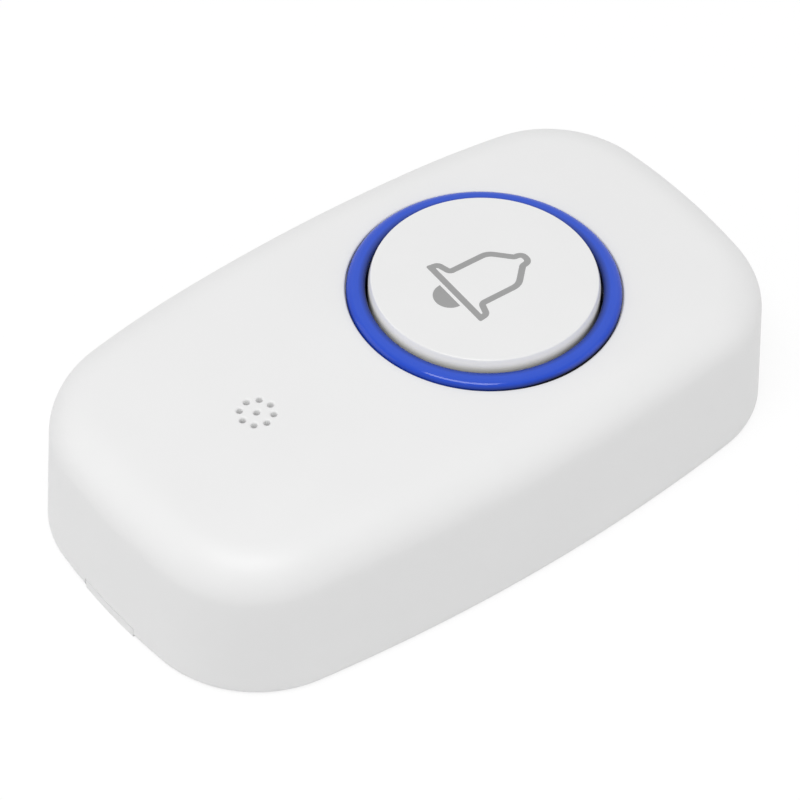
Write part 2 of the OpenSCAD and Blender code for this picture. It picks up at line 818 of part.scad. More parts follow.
// Places and radii of the round holes in the board
board_holes = concat(
    [for (p = boss_places) [p, screw_r + screw_hole_gap]],
    [for (p = pin_places) [p, norm([pin_w, pin_t]) / 2 + wire_gap]],
    [
        for (a = resonator_turns)
            [resonator_c + resonator_lead_circle * [cos(a), sin(a)], resonator_lead_r + wire_gap]
    ],
    [for (sx = [-1, 1]) [[sx * buzzer_pin_x, sound_y], buzzer_pin_r + wire_gap]],
    [for (sx = [-1, 1]) [[sx * antenna_l / 2, antenna_y - sx * antenna_r], antenna_wire / 2 + wire_gap]]
);

module circuit_board() {
    color([0.1, 0.4, 0.2])
        difference() {
            intersection() {
                plan_block(wall + board_top * slope + board_gap, board_z, board_top);
                translate([-half_w, board_y0, board_z - past]) cube([body_w, body_l, board_t + 2 * past]);
            }
            for (h = board_holes) translate(h[0]) post(h[1], board_z - past, board_top + past);
            for (x = [plus_x, minus_x])
                translate([x - wire_gap, board_y0 - past, board_z - past])
                    cube([contact_t + 2 * wire_gap, past + tail_in_board + wire_gap, board_t + 2 * past]);
        }
}

module ring_leds() {
    led_top = board_top + led_h;
    color([0.95, 0.95, 0.85])
        translate([0, button_y, 0]) for (a = pipe_turns) rotate(a) translate([pipe_mid_r, 0])
            difference() {
                block([0, 0], [led_w, led_l], board_top, led_top);
                post(led_w / 2 - led_rim, led_top - led_dish_depth, led_top + past);
            }
}

module controller_chip() {
    chip_top = board_top + chip_h;
    narrow = chip_w / 2 - chip_taper;
    color([0.13, 0.13, 0.14])
        translate(chip_c) difference() {
            translate([-chip_l / 2, 0, 0]) rotate([90, 0, 90]) linear_extrude(chip_l)
                polygon([
                    [-narrow, board_top + lead_t], [narrow, board_top + lead_t],
                    [chip_w / 2, board_top + chip_h / 2], [narrow, chip_top],
                    [-narrow, chip_top], [-chip_w / 2, board_top + chip_h / 2]
                ]);
            translate([-chip_l / 2 + chip_dot_from_edge, -chip_w / 2 + chip_dot_from_edge])
                post(chip_dot_r, chip_top - chip_dot_depth, chip_top + past);
        }
}

module controller_leads() {
    mid_z = board_top + chip_h / 2;
    color([0.8, 0.8, 0.8])
        translate(chip_c) for (my = [0, 1]) mirror([0, my, 0]) for (i = [0:chip_leads - 1])
            translate([(i - (chip_leads - 1) / 2) * lead_pitch, chip_w / 2, 0])
                rotate([90, 0, 90]) translate([0, 0, -lead_w / 2]) linear_extrude(lead_w)
                    polygon([
                        [0, mid_z - lead_t / 2], [lead_reach - lead_foot - lead_t, mid_z - lead_t / 2],
                        [lead_reach - lead_foot - lead_t, board_top], [lead_reach, board_top],
                        [lead_reach, board_top + lead_t], [lead_reach - lead_foot, board_top + lead_t],
                        [lead_reach - lead_foot, mid_z + lead_t / 2], [0, mid_z + lead_t / 2]
                    ]);
}

module rf_resonator() {
    can_top = board_top + resonator_h;
    edge = [resonator_r - resonator_edge, can_top - resonator_edge];
    color([0.75, 0.74, 0.7])
        translate(resonator_c) rotate_extrude() {
            translate([0, board_top]) square([resonator_r + resonator_flange, resonator_flange_t]);
            polygon([
                [0, board_top], [resonator_r, board_top], [resonator_r, edge.y], edge,
                [edge.x, can_top], [0, can_top]
            ]);
            intersection() {
                translate(edge) circle(resonator_edge);
                translate(edge) square(resonator_edge);
            }
        }
}

module resonator_leads() {
    color([0.8, 0.75, 0.55])
        translate(resonator_c) for (a = resonator_turns) rotate(a) translate([resonator_lead_circle, 0])
            post(resonator_lead_r, board_z - solder_len, board_top);
}

module rf_transistor() {
    size = transistor_size;
    lead_z = board_top + size.z / 2;
    color([0.15, 0.15, 0.15])
        translate(transistor_c) {
            block([0, 0], size, board_top + lead_t / 2, board_top + size.z);
            for (p = [[-transistor_pitch / 2, -1], [transistor_pitch / 2, -1], [0, 1]])
                block(
                    [p.x, p.y * (size.y + lead_foot) / 2], [lead_w, lead_foot + lead_t], board_top, lead_z
                );
        }
}

module antenna_coil() {
    color([0.72, 0.45, 0.2])
        translate([-antenna_l / 2, antenna_y, antenna_z]) swept_tube(antenna_path, antenna_wire / 2);
}

module storage_capacitor() {
    base_w = 2 * (storage_r + storage_base_lip);
    color([0.8, 0.8, 0.82])
        translate(storage_c) {
            block([0, 0], [base_w, base_w], board_top, board_top + storage_base_t);
            post(storage_r, board_top, board_top + storage_h);
        }
}

// One surface-mounted chip part
module chip_part(c) {
    block(c, [chip_part_w, chip_part_l], board_top, board_top + chip_part_h);
}

module chip_resistors() {
    color([0.1, 0.1, 0.1])
        for (row = [0:resistor_rows - 1]) for (i = [0:resistors_in_row - 1])
            chip_part([
                (i - (resistors_in_row - 1) / 2) * resistor_pitch,
                button_y + resistor_from_button + row * resistor_pitch
            ]);
}

module chip_capacitors() {
    color([0.65, 0.5, 0.35])
        for (i = [0:capacitors_in_row - 1])
            chip_part([-capacitor_from_button - i * capacitor_pitch, button_y]);
}

module buzzer_body() {
    buzzer_top = board_top + buzzer_h;
    color([0.1, 0.1, 0.11])
        translate([0, sound_y, 0]) difference() {
            post(buzzer_r, board_top, buzzer_top);
            post(buzzer_port_r, buzzer_top - port_depth, buzzer_top + past);
        }
}

module buzzer_pins() {
    color([0.8, 0.8, 0.8])
        for (sx = [-1, 1]) translate([sx * buzzer_pin_x, sound_y])
            post(buzzer_pin_r, board_z - solder_len, board_top);
}

module buzzer_seal() {
    color([0.2, 0.2, 0.2])
        translate([0, sound_y, 0]) difference() {
            post(buzzer_r, board_top + buzzer_h, ceiling);
            post(buzzer_r - seal_w, board_top, ceiling + past);
        }
}

module battery_cell() {
    color([0.25, 0.27, 0.3])
        translate([cell_x0, cell_y, cell_z]) rotate([0, 90, 0]) rotate_extrude()
            polygon([
                [0, 0], [cell_r - can_edge, 0], [cell_r, can_edge], [cell_r, cell_l - can_edge],
                [cell_r - can_edge, cell_l], [nub_r, cell_l], [nub_r, cell_l + nub_l - nub_edge],
                [nub_r - nub_edge, cell_l + nub_l - rest_gap], [0, cell_l + nub_l - rest_gap]
            ]);
}

// Contact plate with a tail that is soldered into the board's edge
module contact(x) {
    tail_y = cell_y + contact_w / 2 - bond;
    low_z = cell_z - contact_h / 2;
    color([0.8, 0.78, 0.7]) {
        block([x + contact_t / 2, cell_y], [contact_t, contact_w], low_z, low_z + contact_h);
        translate([x, tail_y, board_z - solder_len])
            cube([contact_t, board_y0 + tail_in_board - tail_y, board_t + solder_len + tail_above]);
    }
}

module battery_plus_contact() {
    contact(plus_x);
}

module battery_minus_contact() {
    contact(minus_x);
}

module battery_spring() {
    color([0.8, 0.78, 0.7])
        translate([minus_x + contact_t + rest_gap + cell_spring_wire / 2, cell_y, cell_z])
            swept_tube(cell_spring_path, cell_spring_wire / 2);
}

module board_screws() {
    head_z = board_z - screw_head_h;
    tip_z = board_top + screw_bite;
    color([0.6, 0.6, 0.62])
        for (p = boss_places) translate(p) difference() {
            rotate_extrude()
                polygon([
                    [0, head_z], [screw_head_r - screw_head_edge, head_z],
                    [screw_head_r, head_z + screw_head_edge], [screw_head_r, board_z],
                    [screw_r, board_z], [screw_r, tip_z - screw_tip], [0, tip_z]
                ]);
            for (turn = [0, 90]) rotate(turn)
                block([0, 0], [cross_l, cross_w], head_z - past, head_z + cross_d);
        }
}

front_shell();
rear_plate();
light_ring();
button_cap();
return_spring();
switch_base();
switch_cover();
switch_plunger();
switch_pins();
circuit_board();
ring_leds();
controller_chip();
controller_leads();
rf_resonator();
resonator_leads();
rf_transistor();
antenna_coil();
storage_capacitor();
chip_resistors();
chip_capacitors();
buzzer_body();
buzzer_pins();
buzzer_seal();
battery_cell();
battery_plus_contact();
battery_minus_contact();
battery_spring();
board_screws();
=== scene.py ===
import math
import bmesh
import bpy
import numpy as np
from mathutils import Matrix, Vector


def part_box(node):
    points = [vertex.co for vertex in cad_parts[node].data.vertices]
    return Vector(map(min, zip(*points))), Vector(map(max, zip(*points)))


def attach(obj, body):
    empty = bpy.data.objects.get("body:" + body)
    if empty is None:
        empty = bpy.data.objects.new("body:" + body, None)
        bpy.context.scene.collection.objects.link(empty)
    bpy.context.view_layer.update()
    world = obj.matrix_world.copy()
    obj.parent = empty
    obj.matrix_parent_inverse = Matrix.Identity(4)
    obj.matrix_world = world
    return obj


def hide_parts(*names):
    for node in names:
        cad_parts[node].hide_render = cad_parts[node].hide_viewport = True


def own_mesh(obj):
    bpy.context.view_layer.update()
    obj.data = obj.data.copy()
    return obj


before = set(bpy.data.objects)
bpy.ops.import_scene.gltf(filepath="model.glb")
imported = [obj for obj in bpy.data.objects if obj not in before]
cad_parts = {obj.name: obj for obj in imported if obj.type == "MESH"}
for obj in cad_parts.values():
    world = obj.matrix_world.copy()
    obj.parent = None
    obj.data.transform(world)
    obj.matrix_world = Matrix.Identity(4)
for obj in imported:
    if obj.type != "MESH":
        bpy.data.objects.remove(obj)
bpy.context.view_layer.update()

mm = 0.001    # sizes below are millimetres, the scene is in metres


# Corners of a CAD node's box, in millimetres
def boxOf(node):
    low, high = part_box(node)
    return np.array(low) / mm, np.array(high) / mm


# Unit vectors that point at angles
def pointing(turn):
    return np.stack([np.cos(turn), np.sin(turn)], axis=-1)


# Flat points lifted to one height, or to a height for each row or each point
def atHeight(flat, height):
    height = np.asarray(height, float)
    height = height.reshape(height.shape + (1,) * (flat.ndim - height.ndim))
    return np.concatenate([flat, np.broadcast_to(height, flat.shape[:-1] + (1,))], axis=-1)


# Quads between neighbours of a grid of points. Rows that run outwards over the top and down the
# outside, with columns that run anticlockwise seen from above, give faces that point outwards
def gridFaces(points, closeRows=False, closeColumns=True, keep=None):
    rows, columns = points.shape[:2]
    i = np.arange(rows if closeRows else rows - 1)[:, None]
    j = np.arange(columns if closeColumns else columns - 1)[None, :]
    down, right = (i + 1) % rows, (j + 1) % columns
    corners = [i * columns + j, down * columns + j, down * columns + right, i * columns + right]
    quads = np.stack(np.broadcast_arrays(*corners), axis=-1)
    return (quads if keep is None else quads[keep]).reshape(-1, 4).tolist()


# A profile of (radius, height) points turned about an upright axis:
# x = centreX + radius cos a, y = centreY + radius sin a
def lathe(profile, centre, steps, closeRows=False):
    radius, height = np.array(profile, float).T
    turn = 2 * np.pi * np.arange(steps) / steps
    points = atHeight(centre + radius[:, None, None] * pointing(turn), height)
    return points, gridFaces(points, closeRows)


# A flat outline carried straight down from one height to another, with both ends closed
def prism(outline, low, high):
    count = len(outline)
    points = atHeight(np.stack([outline, outline]), [high, low])
    ends = [list(range(count)), list(range(2 * count - 1, count - 1, -1))]
    return points, gridFaces(points) + ends


# Outline of a sector of a ring, centred on an angle in degrees
def sector(centre, inner, outer, middle, wide, steps=16):
    turn = np.radians(np.linspace(middle - wide / 2, middle + wide / 2, steps + 1))
    arc = pointing(turn)
    return np.concatenate([centre + outer * arc, centre + inner * arc[::-1]])


# Polyline whose corners (x, y, radius) become arcs that touch both of their sides
def rounded(corners, closed=True, steps=8):
    corners = np.array(corners, float)
    arcs = []
    for k, (x, y, radius) in enumerate(corners):
        here = np.array([x, y])
        if radius == 0 or (not closed and k in (0, len(corners) - 1)):
            arcs.append(here[None])
            continue
        back = corners[k - 1, :2] - here
        ahead = corners[(k + 1) % len(corners), :2] - here
        back, ahead = back / np.linalg.norm(back), ahead / np.linalg.norm(ahead)
        half = np.arccos(np.clip(back @ ahead, -1, 1)) / 2
        bisector = (back + ahead) / np.linalg.norm(back + ahead)
        middle = here + bisector * radius / np.sin(half)
        start = here + back * radius / np.tan(half) - middle
        end = here + ahead * radius / np.tan(half) - middle
        share = np.linspace(0, 1, steps + 1)[:, None]
        angle = np.pi - 2 * half
        turned = (np.sin((1 - share) * angle) * start + np.sin(share * angle) * end) / np.sin(angle)
        arcs.append(middle + turned)
    return np.concatenate(arcs)


# Round tube along a path: a ring of points square to the path at each of its points, ends closed
def tube(path, radius, outwards, sides=12):
    along = np.gradient(path, axis=0)
    along /= np.linalg.norm(along, axis=1)[:, None]
    side = np.cross(along, outwards)
    side /= np.linalg.norm(side, axis=1)[:, None]
    up = np.cross(side, along)
    turn = 2 * np.pi * np.arange(sides) / sides
    circle = side[:, None] * np.cos(turn)[:, None] + up[:, None] * np.sin(turn)[:, None]
    points = path[:, None] + radius * circle
    last = (len(path) - 1) * sides
    ends = [list(range(sides)), list(range(last, last + sides))]
    return points, gridFaces(points) + ends


# One mesh object from (points, faces) parts in millimetres. Points closer than seam are merged, faces
# turned outwards, and edges sharper than sharpFrom degrees stay crisp
def makePiece(name, parts, body, material, replaced=(), sharpFrom=32, seam=0.001):
    points, faces, offset = [], [], 0
    for partPoints, partFaces in parts:
        flat = np.asarray(partPoints, float).reshape(-1, 3)
        points.append(flat)
        faces += [[index + offset for index in face] for face in partFaces]
        offset += len(flat)
    mesh = bpy.data.meshes.new(name)
    mesh.from_pydata(np.concatenate(points) * mm, [], faces)
    work = bmesh.new()
    work.from_mesh(mesh)
    bmesh.ops.remove_doubles(work, verts=work.verts, dist=seam * mm)
    bmesh.ops.recalc_face_normals(work, faces=work.faces)
    work.to_mesh(mesh)
    work.free()
    mesh.shade_smooth()
    mesh.set_sharp_from_angle(angle=math.radians(sharpFrom))
    mesh.materials.append(material)
    piece = bpy.data.objects.new(name, mesh)
    bpy.context.scene.collection.objects.link(piece)
    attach(piece, body)
    if replaced:
        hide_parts(*replaced)
    return piece


# A piece's vertices in millimetres, one row each
def vertexPlaces(piece):
    places = np.empty(3 * len(piece.data.vertices))
    piece.data.vertices.foreach_get("co", places)
    return places.reshape(-1, 3) / mm


# Gives a piece's vertices an attribute that its finish reads, 0 to 1
def giveAttribute(piece, name, amounts):
    attribute = piece.data.attributes.new(name, "FLOAT", "POINT")
    attribute.data.foreach_set("value", np.clip(amounts, 0, 1))


# sRGB hex to linear colour
def linear(hexColour):
    value = np.array([int(hexColour[k:k + 2], 16) for k in (0, 2, 4)]) / 255
    value = np.where(value <= 0.04045, value / 12.92, ((value + 0.055) / 1.055) ** 2.4)
    return (*value.tolist(), 1.0)


# Adds one shader node: settings are its properties, inputs its sockets' values or what feeds them
def addNode(tree, kind, inputs=None, **settings):
    node = tree.nodes.new(kind)
    for key, value in settings.items():
        setattr(node, key, value)
    for key, value in (inputs or {}).items():
        if isinstance(value, bpy.types.NodeSocket):
            tree.links.new(value, node.inputs[key])
        else:
            node.inputs[key].default_value = value
    return node


# How the patterns are drawn: detail of the noises, length after which a wave of scale 1 repeats and how
# much it wanders, and the part of a pattern's range that moves the roughness
drawn = {"patchDetail": 3, "grainDetail": 2, "wave": 0.314, "wander": 0.4, "range": (0.25, 0.75)}


# A surface finish from one dictionary. Two tones drift over the surface in patches, a finer pattern
# moves the roughness and the bump. Stretch draws the pattern out along an axis, as drawing and
# brushing do. Deep and shade are painted light and shade: further colours mixed in where the piece's
# attributes of these names say so
def makeFinish(name, look):
    material = bpy.data.materials.new(name)
    material.use_nodes = True
    tree = material.node_tree
    tree.nodes.clear()
    coords = addNode(tree, "ShaderNodeTexCoord")
    stretched = addNode(tree, "ShaderNodeMapping", {
        "Vector": coords.outputs["Object"], "Scale": look.get("stretch", (1, 1, 1))})
    patches = addNode(tree, "ShaderNodeTexNoise", {
        "Vector": coords.outputs["Object"], "Scale": 1 / (look["patch"] * mm),
        "Detail": drawn["patchDetail"]})
    if look.get("pattern") == "cells":
        fine = addNode(tree, "ShaderNodeTexVoronoi", {
            "Vector": stretched.outputs["Vector"], "Scale": 1 / (look["grain"] * mm)})
        fineValue = fine.outputs["Distance"]
    elif look.get("pattern") == "weave":
        threads = [addNode(tree, "ShaderNodeTexWave", {
            "Vector": stretched.outputs["Vector"], "Scale": drawn["wave"] / (look["grain"] * mm),
            "Distortion": drawn["wander"]}, bands_direction=way) for way in ("X", "Y")]
        crossed = addNode(tree, "ShaderNodeMath", {
            0: threads[0].outputs["Fac"], 1: threads[1].outputs["Fac"]}, operation="MAXIMUM")
        fineValue = crossed.outputs["Value"]
    else:
        fine = addNode(tree, "ShaderNodeTexNoise", {
            "Vector": stretched.outputs["Vector"], "Scale": 1 / (look["grain"] * mm),
            "Detail": drawn["grainDetail"]})
        fineValue = fine.outputs["Fac"]
    mixed = addNode(tree, "ShaderNodeMix", {
        "Factor": patches.outputs["Fac"], "A": linear(look["colour"]), "B": linear(look["tone"])},
        data_type="RGBA")
    # Painted light and shade: further colours mixed in where the piece's attributes say so
    for paintedColour in ("deep", "paintedShading"):
        if paintedColour in look:
            amount = addNode(tree, "ShaderNodeAttribute", attribute_name=paintedColour)
            mixed = addNode(tree, "ShaderNodeMix", {
                "Factor": amount.outputs["Fac"], "A": mixed.outputs[2], "B": linear(look[paintedColour])},
                data_type="RGBA")
    (least, most), (low, high) = drawn["range"], look["roughness"]
    rough = addNode(tree, "ShaderNodeMapRange", {
        "Value": fineValue, "From Min": least, "From Max": most, "To Min": low, "To Max": high})
    bump = addNode(tree, "ShaderNodeBump", {
        "Height": fineValue, "Strength": look["bump"], "Distance": look["relief"] * mm})
    shader = addNode(tree, "ShaderNodeBsdfPrincipled", {
        "Base Color": mixed.outputs[2], "Roughness": rough.outputs["Result"],
        "Normal": bump.outputs["Normal"], "Metallic": look.get("metallic", 0.0)})
    for socket, value in look.get("shader", {}).items():
        shader.inputs[socket].default_value = value
    addNode(tree, "ShaderNodeOutputMaterial", {"Surface": shader.outputs["BSDF"]})
    return material


# What the eye gets from each material. Grain, patch and relief are millimetres; a grain finer than
# a tenth of a millimetre doesn't show in the picture, so spark grain is drawn coarser than it is
finishes = {
    # ABS, injection moulded in a fine spark-eroded tool: white, satin, soft highlights
    "abs-moulded-satin-white": {
        "colour": "EDEDED", "tone": "E9E9E9", "patch": 14, "grain": 0.5, "roughness": (0.44, 0.5),
        "bump": 0.008, "relief": 0.005, "shader": {"IOR": 1.53}},
    # The same ABS from a smoother tool: it shines a little more than the shell. A paler, warmer colour
    # painted down the cap's wall is painted light, which lightens the wall and cancels the blue that the
    # ring throws on it
    "abs-moulded-smooth-white": {
        "colour": "EDEDED", "tone": "E9E9E9", "paintedShading": "FFFDF0", "patch": 10, "grain": 0.25,
        "roughness": (0.2, 0.25), "bump": 0.02, "relief": 0.005, "shader": {"IOR": 1.53}},
    # Polycarbonate, moulded and tinted: royal blue where light comes back from the white shell under it.
    # A deeper blue painted on the round outer edge is painted shade that offsets its pale reflection, and
    # painted shade makes it nearly black at the gaps on both of its sides
    "polycarbonate-moulded-blue": {
        "colour": "2C54CE", "tone": "2850C8", "deep": "0C44C6", "paintedShading": "0A0B10", "patch": 5,
        "grain": 0.8, "roughness": (0.09, 0.13), "bump": 0.01, "relief": 0.005,
        "shader": {"IOR": 1.585, "Specular IOR Level": 0.26}},
    # Pad-printing ink: a thin flat grey with a dry surface
    "pad-print-ink-grey": {
        "colour": "9E9E9E", "tone": "999999", "patch": 2, "grain": 0.2, "roughness": (0.5, 0.6),
        "bump": 0.04, "relief": 0.004, "shader": {"IOR": 1.5}},
    # Spring steel wire, cold drawn: grey, with fine lines along the wire
    "spring-steel-drawn": {
        "colour": "B4B5B8", "tone": "A2A3A7", "patch": 1.5, "grain": 0.2, "stretch": (1, 1, 0.2),
        "roughness": (0.25, 0.4), "bump": 0.1, "relief": 0.01, "metallic": 1.0},
    # Stainless sheet, stamped: bright, with rolling lines one way
    "stainless-sheet-stamped": {
        "colour": "C8C8CA", "tone": "BCBCBF", "patch": 3, "grain": 0.25, "stretch": (0.1, 1, 1),
        "roughness": (0.22, 0.36), "bump": 0.08, "relief": 0.01, "metallic": 1.0},
    # Tin plate on brass pins: pale and slightly milky
    "tin-plated": {
        "colour": "CFCFCD", "tone": "C2C2C0", "patch": 0.8, "grain": 0.15, "roughness": (0.3, 0.45),
        "bump": 0.08, "relief": 0.01, "metallic": 1.0},
    # Nickel plate on spring steel: warm silver
    "nickel-plated-steel": {
        "colour": "CDC8BA", "tone": "C0BBAD", "patch": 2, "grain": 0.2, "stretch": (1, 1, 0.15),
        "roughness": (0.2, 0.34), "bump": 0.06, "relief": 0.01, "metallic": 1.0},
    # Zinc plate on screws: bluish grey, a little cloudy
    "zinc-plated-steel": {
        "colour": "B2B5BA", "tone": "A3A6AC", "patch": 0.9, "grain": 0.2, "roughness": (0.28, 0.44),
        "bump": 0.1, "relief": 0.01, "metallic": 1.0},
    # Copper wire under clear enamel: red-brown with a lacquer shine
    "copper-enamelled": {
        "colour": "B8733A", "tone": "A9632F", "patch": 1.2, "grain": 0.2, "stretch": (0.2, 1, 1),
        "roughness": (0.24, 0.34), "bump": 0.06, "relief": 0.01, "metallic": 1.0,
        "shader": {"Coat Weight": 0.5}},
    # Aluminium can, deep drawn: light grey with upright lines
    "aluminium-drawn": {
        "colour": "D0D1D4", "tone": "C4C5C9", "patch": 1.5, "grain": 0.2, "stretch": (1, 1, 0.1),
        "roughness": (0.3, 0.42), "bump": 0.08, "relief": 0.01, "metallic": 1.0},
    # Glass laminate under green solder mask: the weave shows through as a faint relief
    "laminate-solder-mask": {
        "colour": "1F6B3C", "tone": "175A31", "patch": 6, "grain": 0.5, "pattern": "weave",
        "roughness": (0.28, 0.38), "bump": 0.12, "relief": 0.02, "shader": {"IOR": 1.5}},
    # Nylon, moulded black: matt, slightly greyed by its glass filling
    "nylon-moulded-black": {
        "colour": "202022", "tone": "28282A", "patch": 1.5, "grain": 0.2, "roughness": (0.42, 0.56),
        "bump": 0.1, "relief": 0.015, "shader": {"IOR": 1.53}},
    # Epoxy moulding resin of chips: charcoal, with a fine gritty skin
    "epoxy-moulded-charcoal": {
        "colour": "26262A", "tone": "2E2E31", "patch": 1.2, "grain": 0.15, "roughness": (0.5, 0.62),
        "bump": 0.15, "relief": 0.015, "shader": {"IOR": 1.55}},
    # Barium titanate ceramic, fired: tan, speckled and dry
    "ceramic-fired-tan": {
        "colour": "B08E68", "tone": "A07F5B", "patch": 0.5, "grain": 0.12, "roughness": (0.5, 0.65),
        "bump": 0.12, "relief": 0.01, "shader": {"IOR": 1.6}},
    # Diode package, white moulding with clear resin in its dish
    "diode-package-white": {
        "colour": "F0EEDF", "tone": "E6E2CC", "patch": 1.2, "grain": 0.2, "roughness": (0.2, 0.32),
        "bump": 0.04, "relief": 0.01, "shader": {"IOR": 1.52, "Coat Weight": 0.4}},
    # Closed-cell foam: dark grey, dry, with small open bubbles at its cut faces
    "foam-closed-cell": {
        "colour": "3A3A3C", "tone": "313133", "patch": 1.5, "grain": 0.35, "pattern": "cells",
        "roughness": (0.8, 0.95), "bump": 0.5, "relief": 0.06, "shader": {"IOR": 1.45}},
    # Shrunk film round the cell's can: dark blue-grey, glossy, drawn tight along the can
    "film-shrunk-grey": {
        "colour": "464A50", "tone": "3C4046", "patch": 4, "grain": 0.4, "stretch": (0.1, 1, 1),
        "roughness": (0.2, 0.32), "bump": 0.06, "relief": 0.01, "shader": {"IOR": 1.5}},
}
made = {name: makeFinish(name, look) for name, look in finishes.items()}
print("finishes:", len(made))

# Places that the frame gives
shellLow, shellHigh = boxOf("front_shell")
capLow, capHigh = boxOf("button_cap")
ringLow, ringHigh = boxOf("light_ring")
buzzerLow, buzzerHigh = boxOf("buzzer_body")
buttonCentre = np.array([0.0, (capLow[1] + capHigh[1]) / 2])
soundCentre = np.array([0.0, (buzzerLow[1] + buzzerHigh[1]) / 2])

shell = {
    "sideBow": 219.0, "endBow": 85.5, "corner": 14.2,    # radii of the outline
    "draft": 2.3, "bulge": 0.05,                         # lean of the walls in degrees, and their bow
    "edge": 5.2,                                         # radius between walls and top
    "wall": 1.8, "topWall": 2.2, "rimRound": 0.3,
    "crownFrom": 17.0, "crownDrop": 1.0, "crownFloor": 4.0,    # fall of the top towards the ends
    "crownRise": 0.3, "crownHalf": (18.6, 36.5),               # swell of the top in the middle
    "cornerDrop": 0.8, "cornerX": 20.0,                        # how much more the corners fall
    "seatRadius": 15.15, "collarRadius": 16.65, "collarLow": 12.95,
    "recessRadius": 15.7, "recessDepth": 0.5, "recessRound": 0.22,
    "soundCircle": 1.9, "soundThroat": 0.36, "soundFoot": 0.3, "soundCount": 8, "soundRound": 0.24,
    "soundBlock": 3.1, "soundOuter": 2.6, "soundInner": 0.95, "soundPocket": 2.8, "soundWeb": 0.9,
    "notchHalf": 4.6, "notchTop": 1.4,
    "bossRadius": 2.6, "bossBore": 1.02, "bossX": 16.5, "bossY": (-15.0, 29.0), "bossLow": 9.6,
    "bossLap": 0.5, "bossSteps": 48,
    "endSteps": 10, "cornerSteps": 28, "sideSteps": 72,     # columns: half an end, a corner, a side
    "besideSteps": 6, "notchSteps": 12,                     # beside the notch and across it
    "edgeSteps": 16, "innerSteps": 8, "topSteps": 10,       # rows round the edge and over the top
    "wallRows": (12.5, 11.0, 9.5, 8.0, 6.5, 5.0, 3.0),      # heights of rows on the wall
    "footRow": 1.0, "innerRows": (5.0, 9.0),
}
quarter = np.radians([0, 30, 60, 90])    # steps of a small rounding


# The outline as columns: each has the centre and radius of its arc and the angle of its normal, so
# that a point at an inset is centre + (radius - inset) * normal. Corners touch both bows from inside
def outlineColumns(halfWidth, halfLength):
    sideBow, endBow, corner = shell["sideBow"], shell["endBow"], shell["corner"]
    sideX, endY = halfWidth - sideBow, halfLength - endBow
    between = np.array([-sideX, endY])
    gap = np.linalg.norm(between)
    unit = between / gap
    along = ((sideBow - corner) ** 2 - (endBow - corner) ** 2 + gap ** 2) / (2 * gap)
    across = math.sqrt((sideBow - corner) ** 2 - along ** 2)
    cx, cy = np.array([sideX, 0]) + along * unit + across * np.array([-unit[1], unit[0]])
    sideTurn = math.degrees(math.atan2(cy, cx - sideX))
    endTurn = math.degrees(math.atan2(cx, cy - endY))
    notchTurn = math.degrees(math.asin(shell["notchHalf"] / endBow))
    ends, corners, sides = shell["endSteps"], shell["cornerSteps"], shell["sideSteps"]
    beside, notch = shell["besideSteps"], shell["notchSteps"]
    stretches = [    # centre of an arc, its radius, its first and last angle, its columns
        (0, endY, endBow, 90, 90 + endTurn, ends),
        (-cx, cy, corner, 90 + endTurn, 180 - sideTurn, corners),
        (-sideX, 0, sideBow, 180 - sideTurn, 180 + sideTurn, sides),
        (-cx, -cy, corner, 180 + sideTurn, 270 - endTurn, corners),
        (0, -endY, endBow, 270 - endTurn, 270 - notchTurn, beside),
        (0, -endY, endBow, 270 - notchTurn, 270 + notchTurn, notch),
        (0, -endY, endBow, 270 + notchTurn, 270 + endTurn, beside),
        (cx, -cy, corner, 270 + endTurn, 360 - sideTurn, corners),
        (sideX, 0, sideBow, 360 - sideTurn, 360 + sideTurn, sides),
        (cx, cy, corner, 360 + sideTurn, 450 - endTurn, corners),
        (0, endY, endBow, 450 - endTurn, 450, ends),
    ]
    centre = np.concatenate([np.tile([x, y], (n, 1)) for x, y, r, a, b, n in stretches])
    radius = np.concatenate([np.full(n, r) for x, y, r, a, b, n in stretches])
    turn = np.concatenate([np.linspace(a, b, n, endpoint=False) for x, y, r, a, b, n in stretches])
    notchStart = ends + corners + sides + corners + beside
    return centre, radius, pointing(np.radians(turn)), notchStart


# How far the top lies below its flat height: a parabola towards the ends that starts off the middle and
# deepens towards the corners, less a faint swell, the product of a parabola across and one along
def crown(flat):
    past = np.clip(np.abs(flat[..., 1]) - shell["crownFrom"], 0, None)
    fall = shell["crownDrop"] * (past / (shellHigh[1] - shell["crownFrom"])) ** 2
    fall = fall * (1 + shell["cornerDrop"] * (flat[..., 0] / shell["cornerX"]) ** 2)
    swell = np.prod(np.clip(1 - (flat / shell["crownHalf"]) ** 2, 0, None), axis=-1)
    return fall - shell["crownRise"] * swell


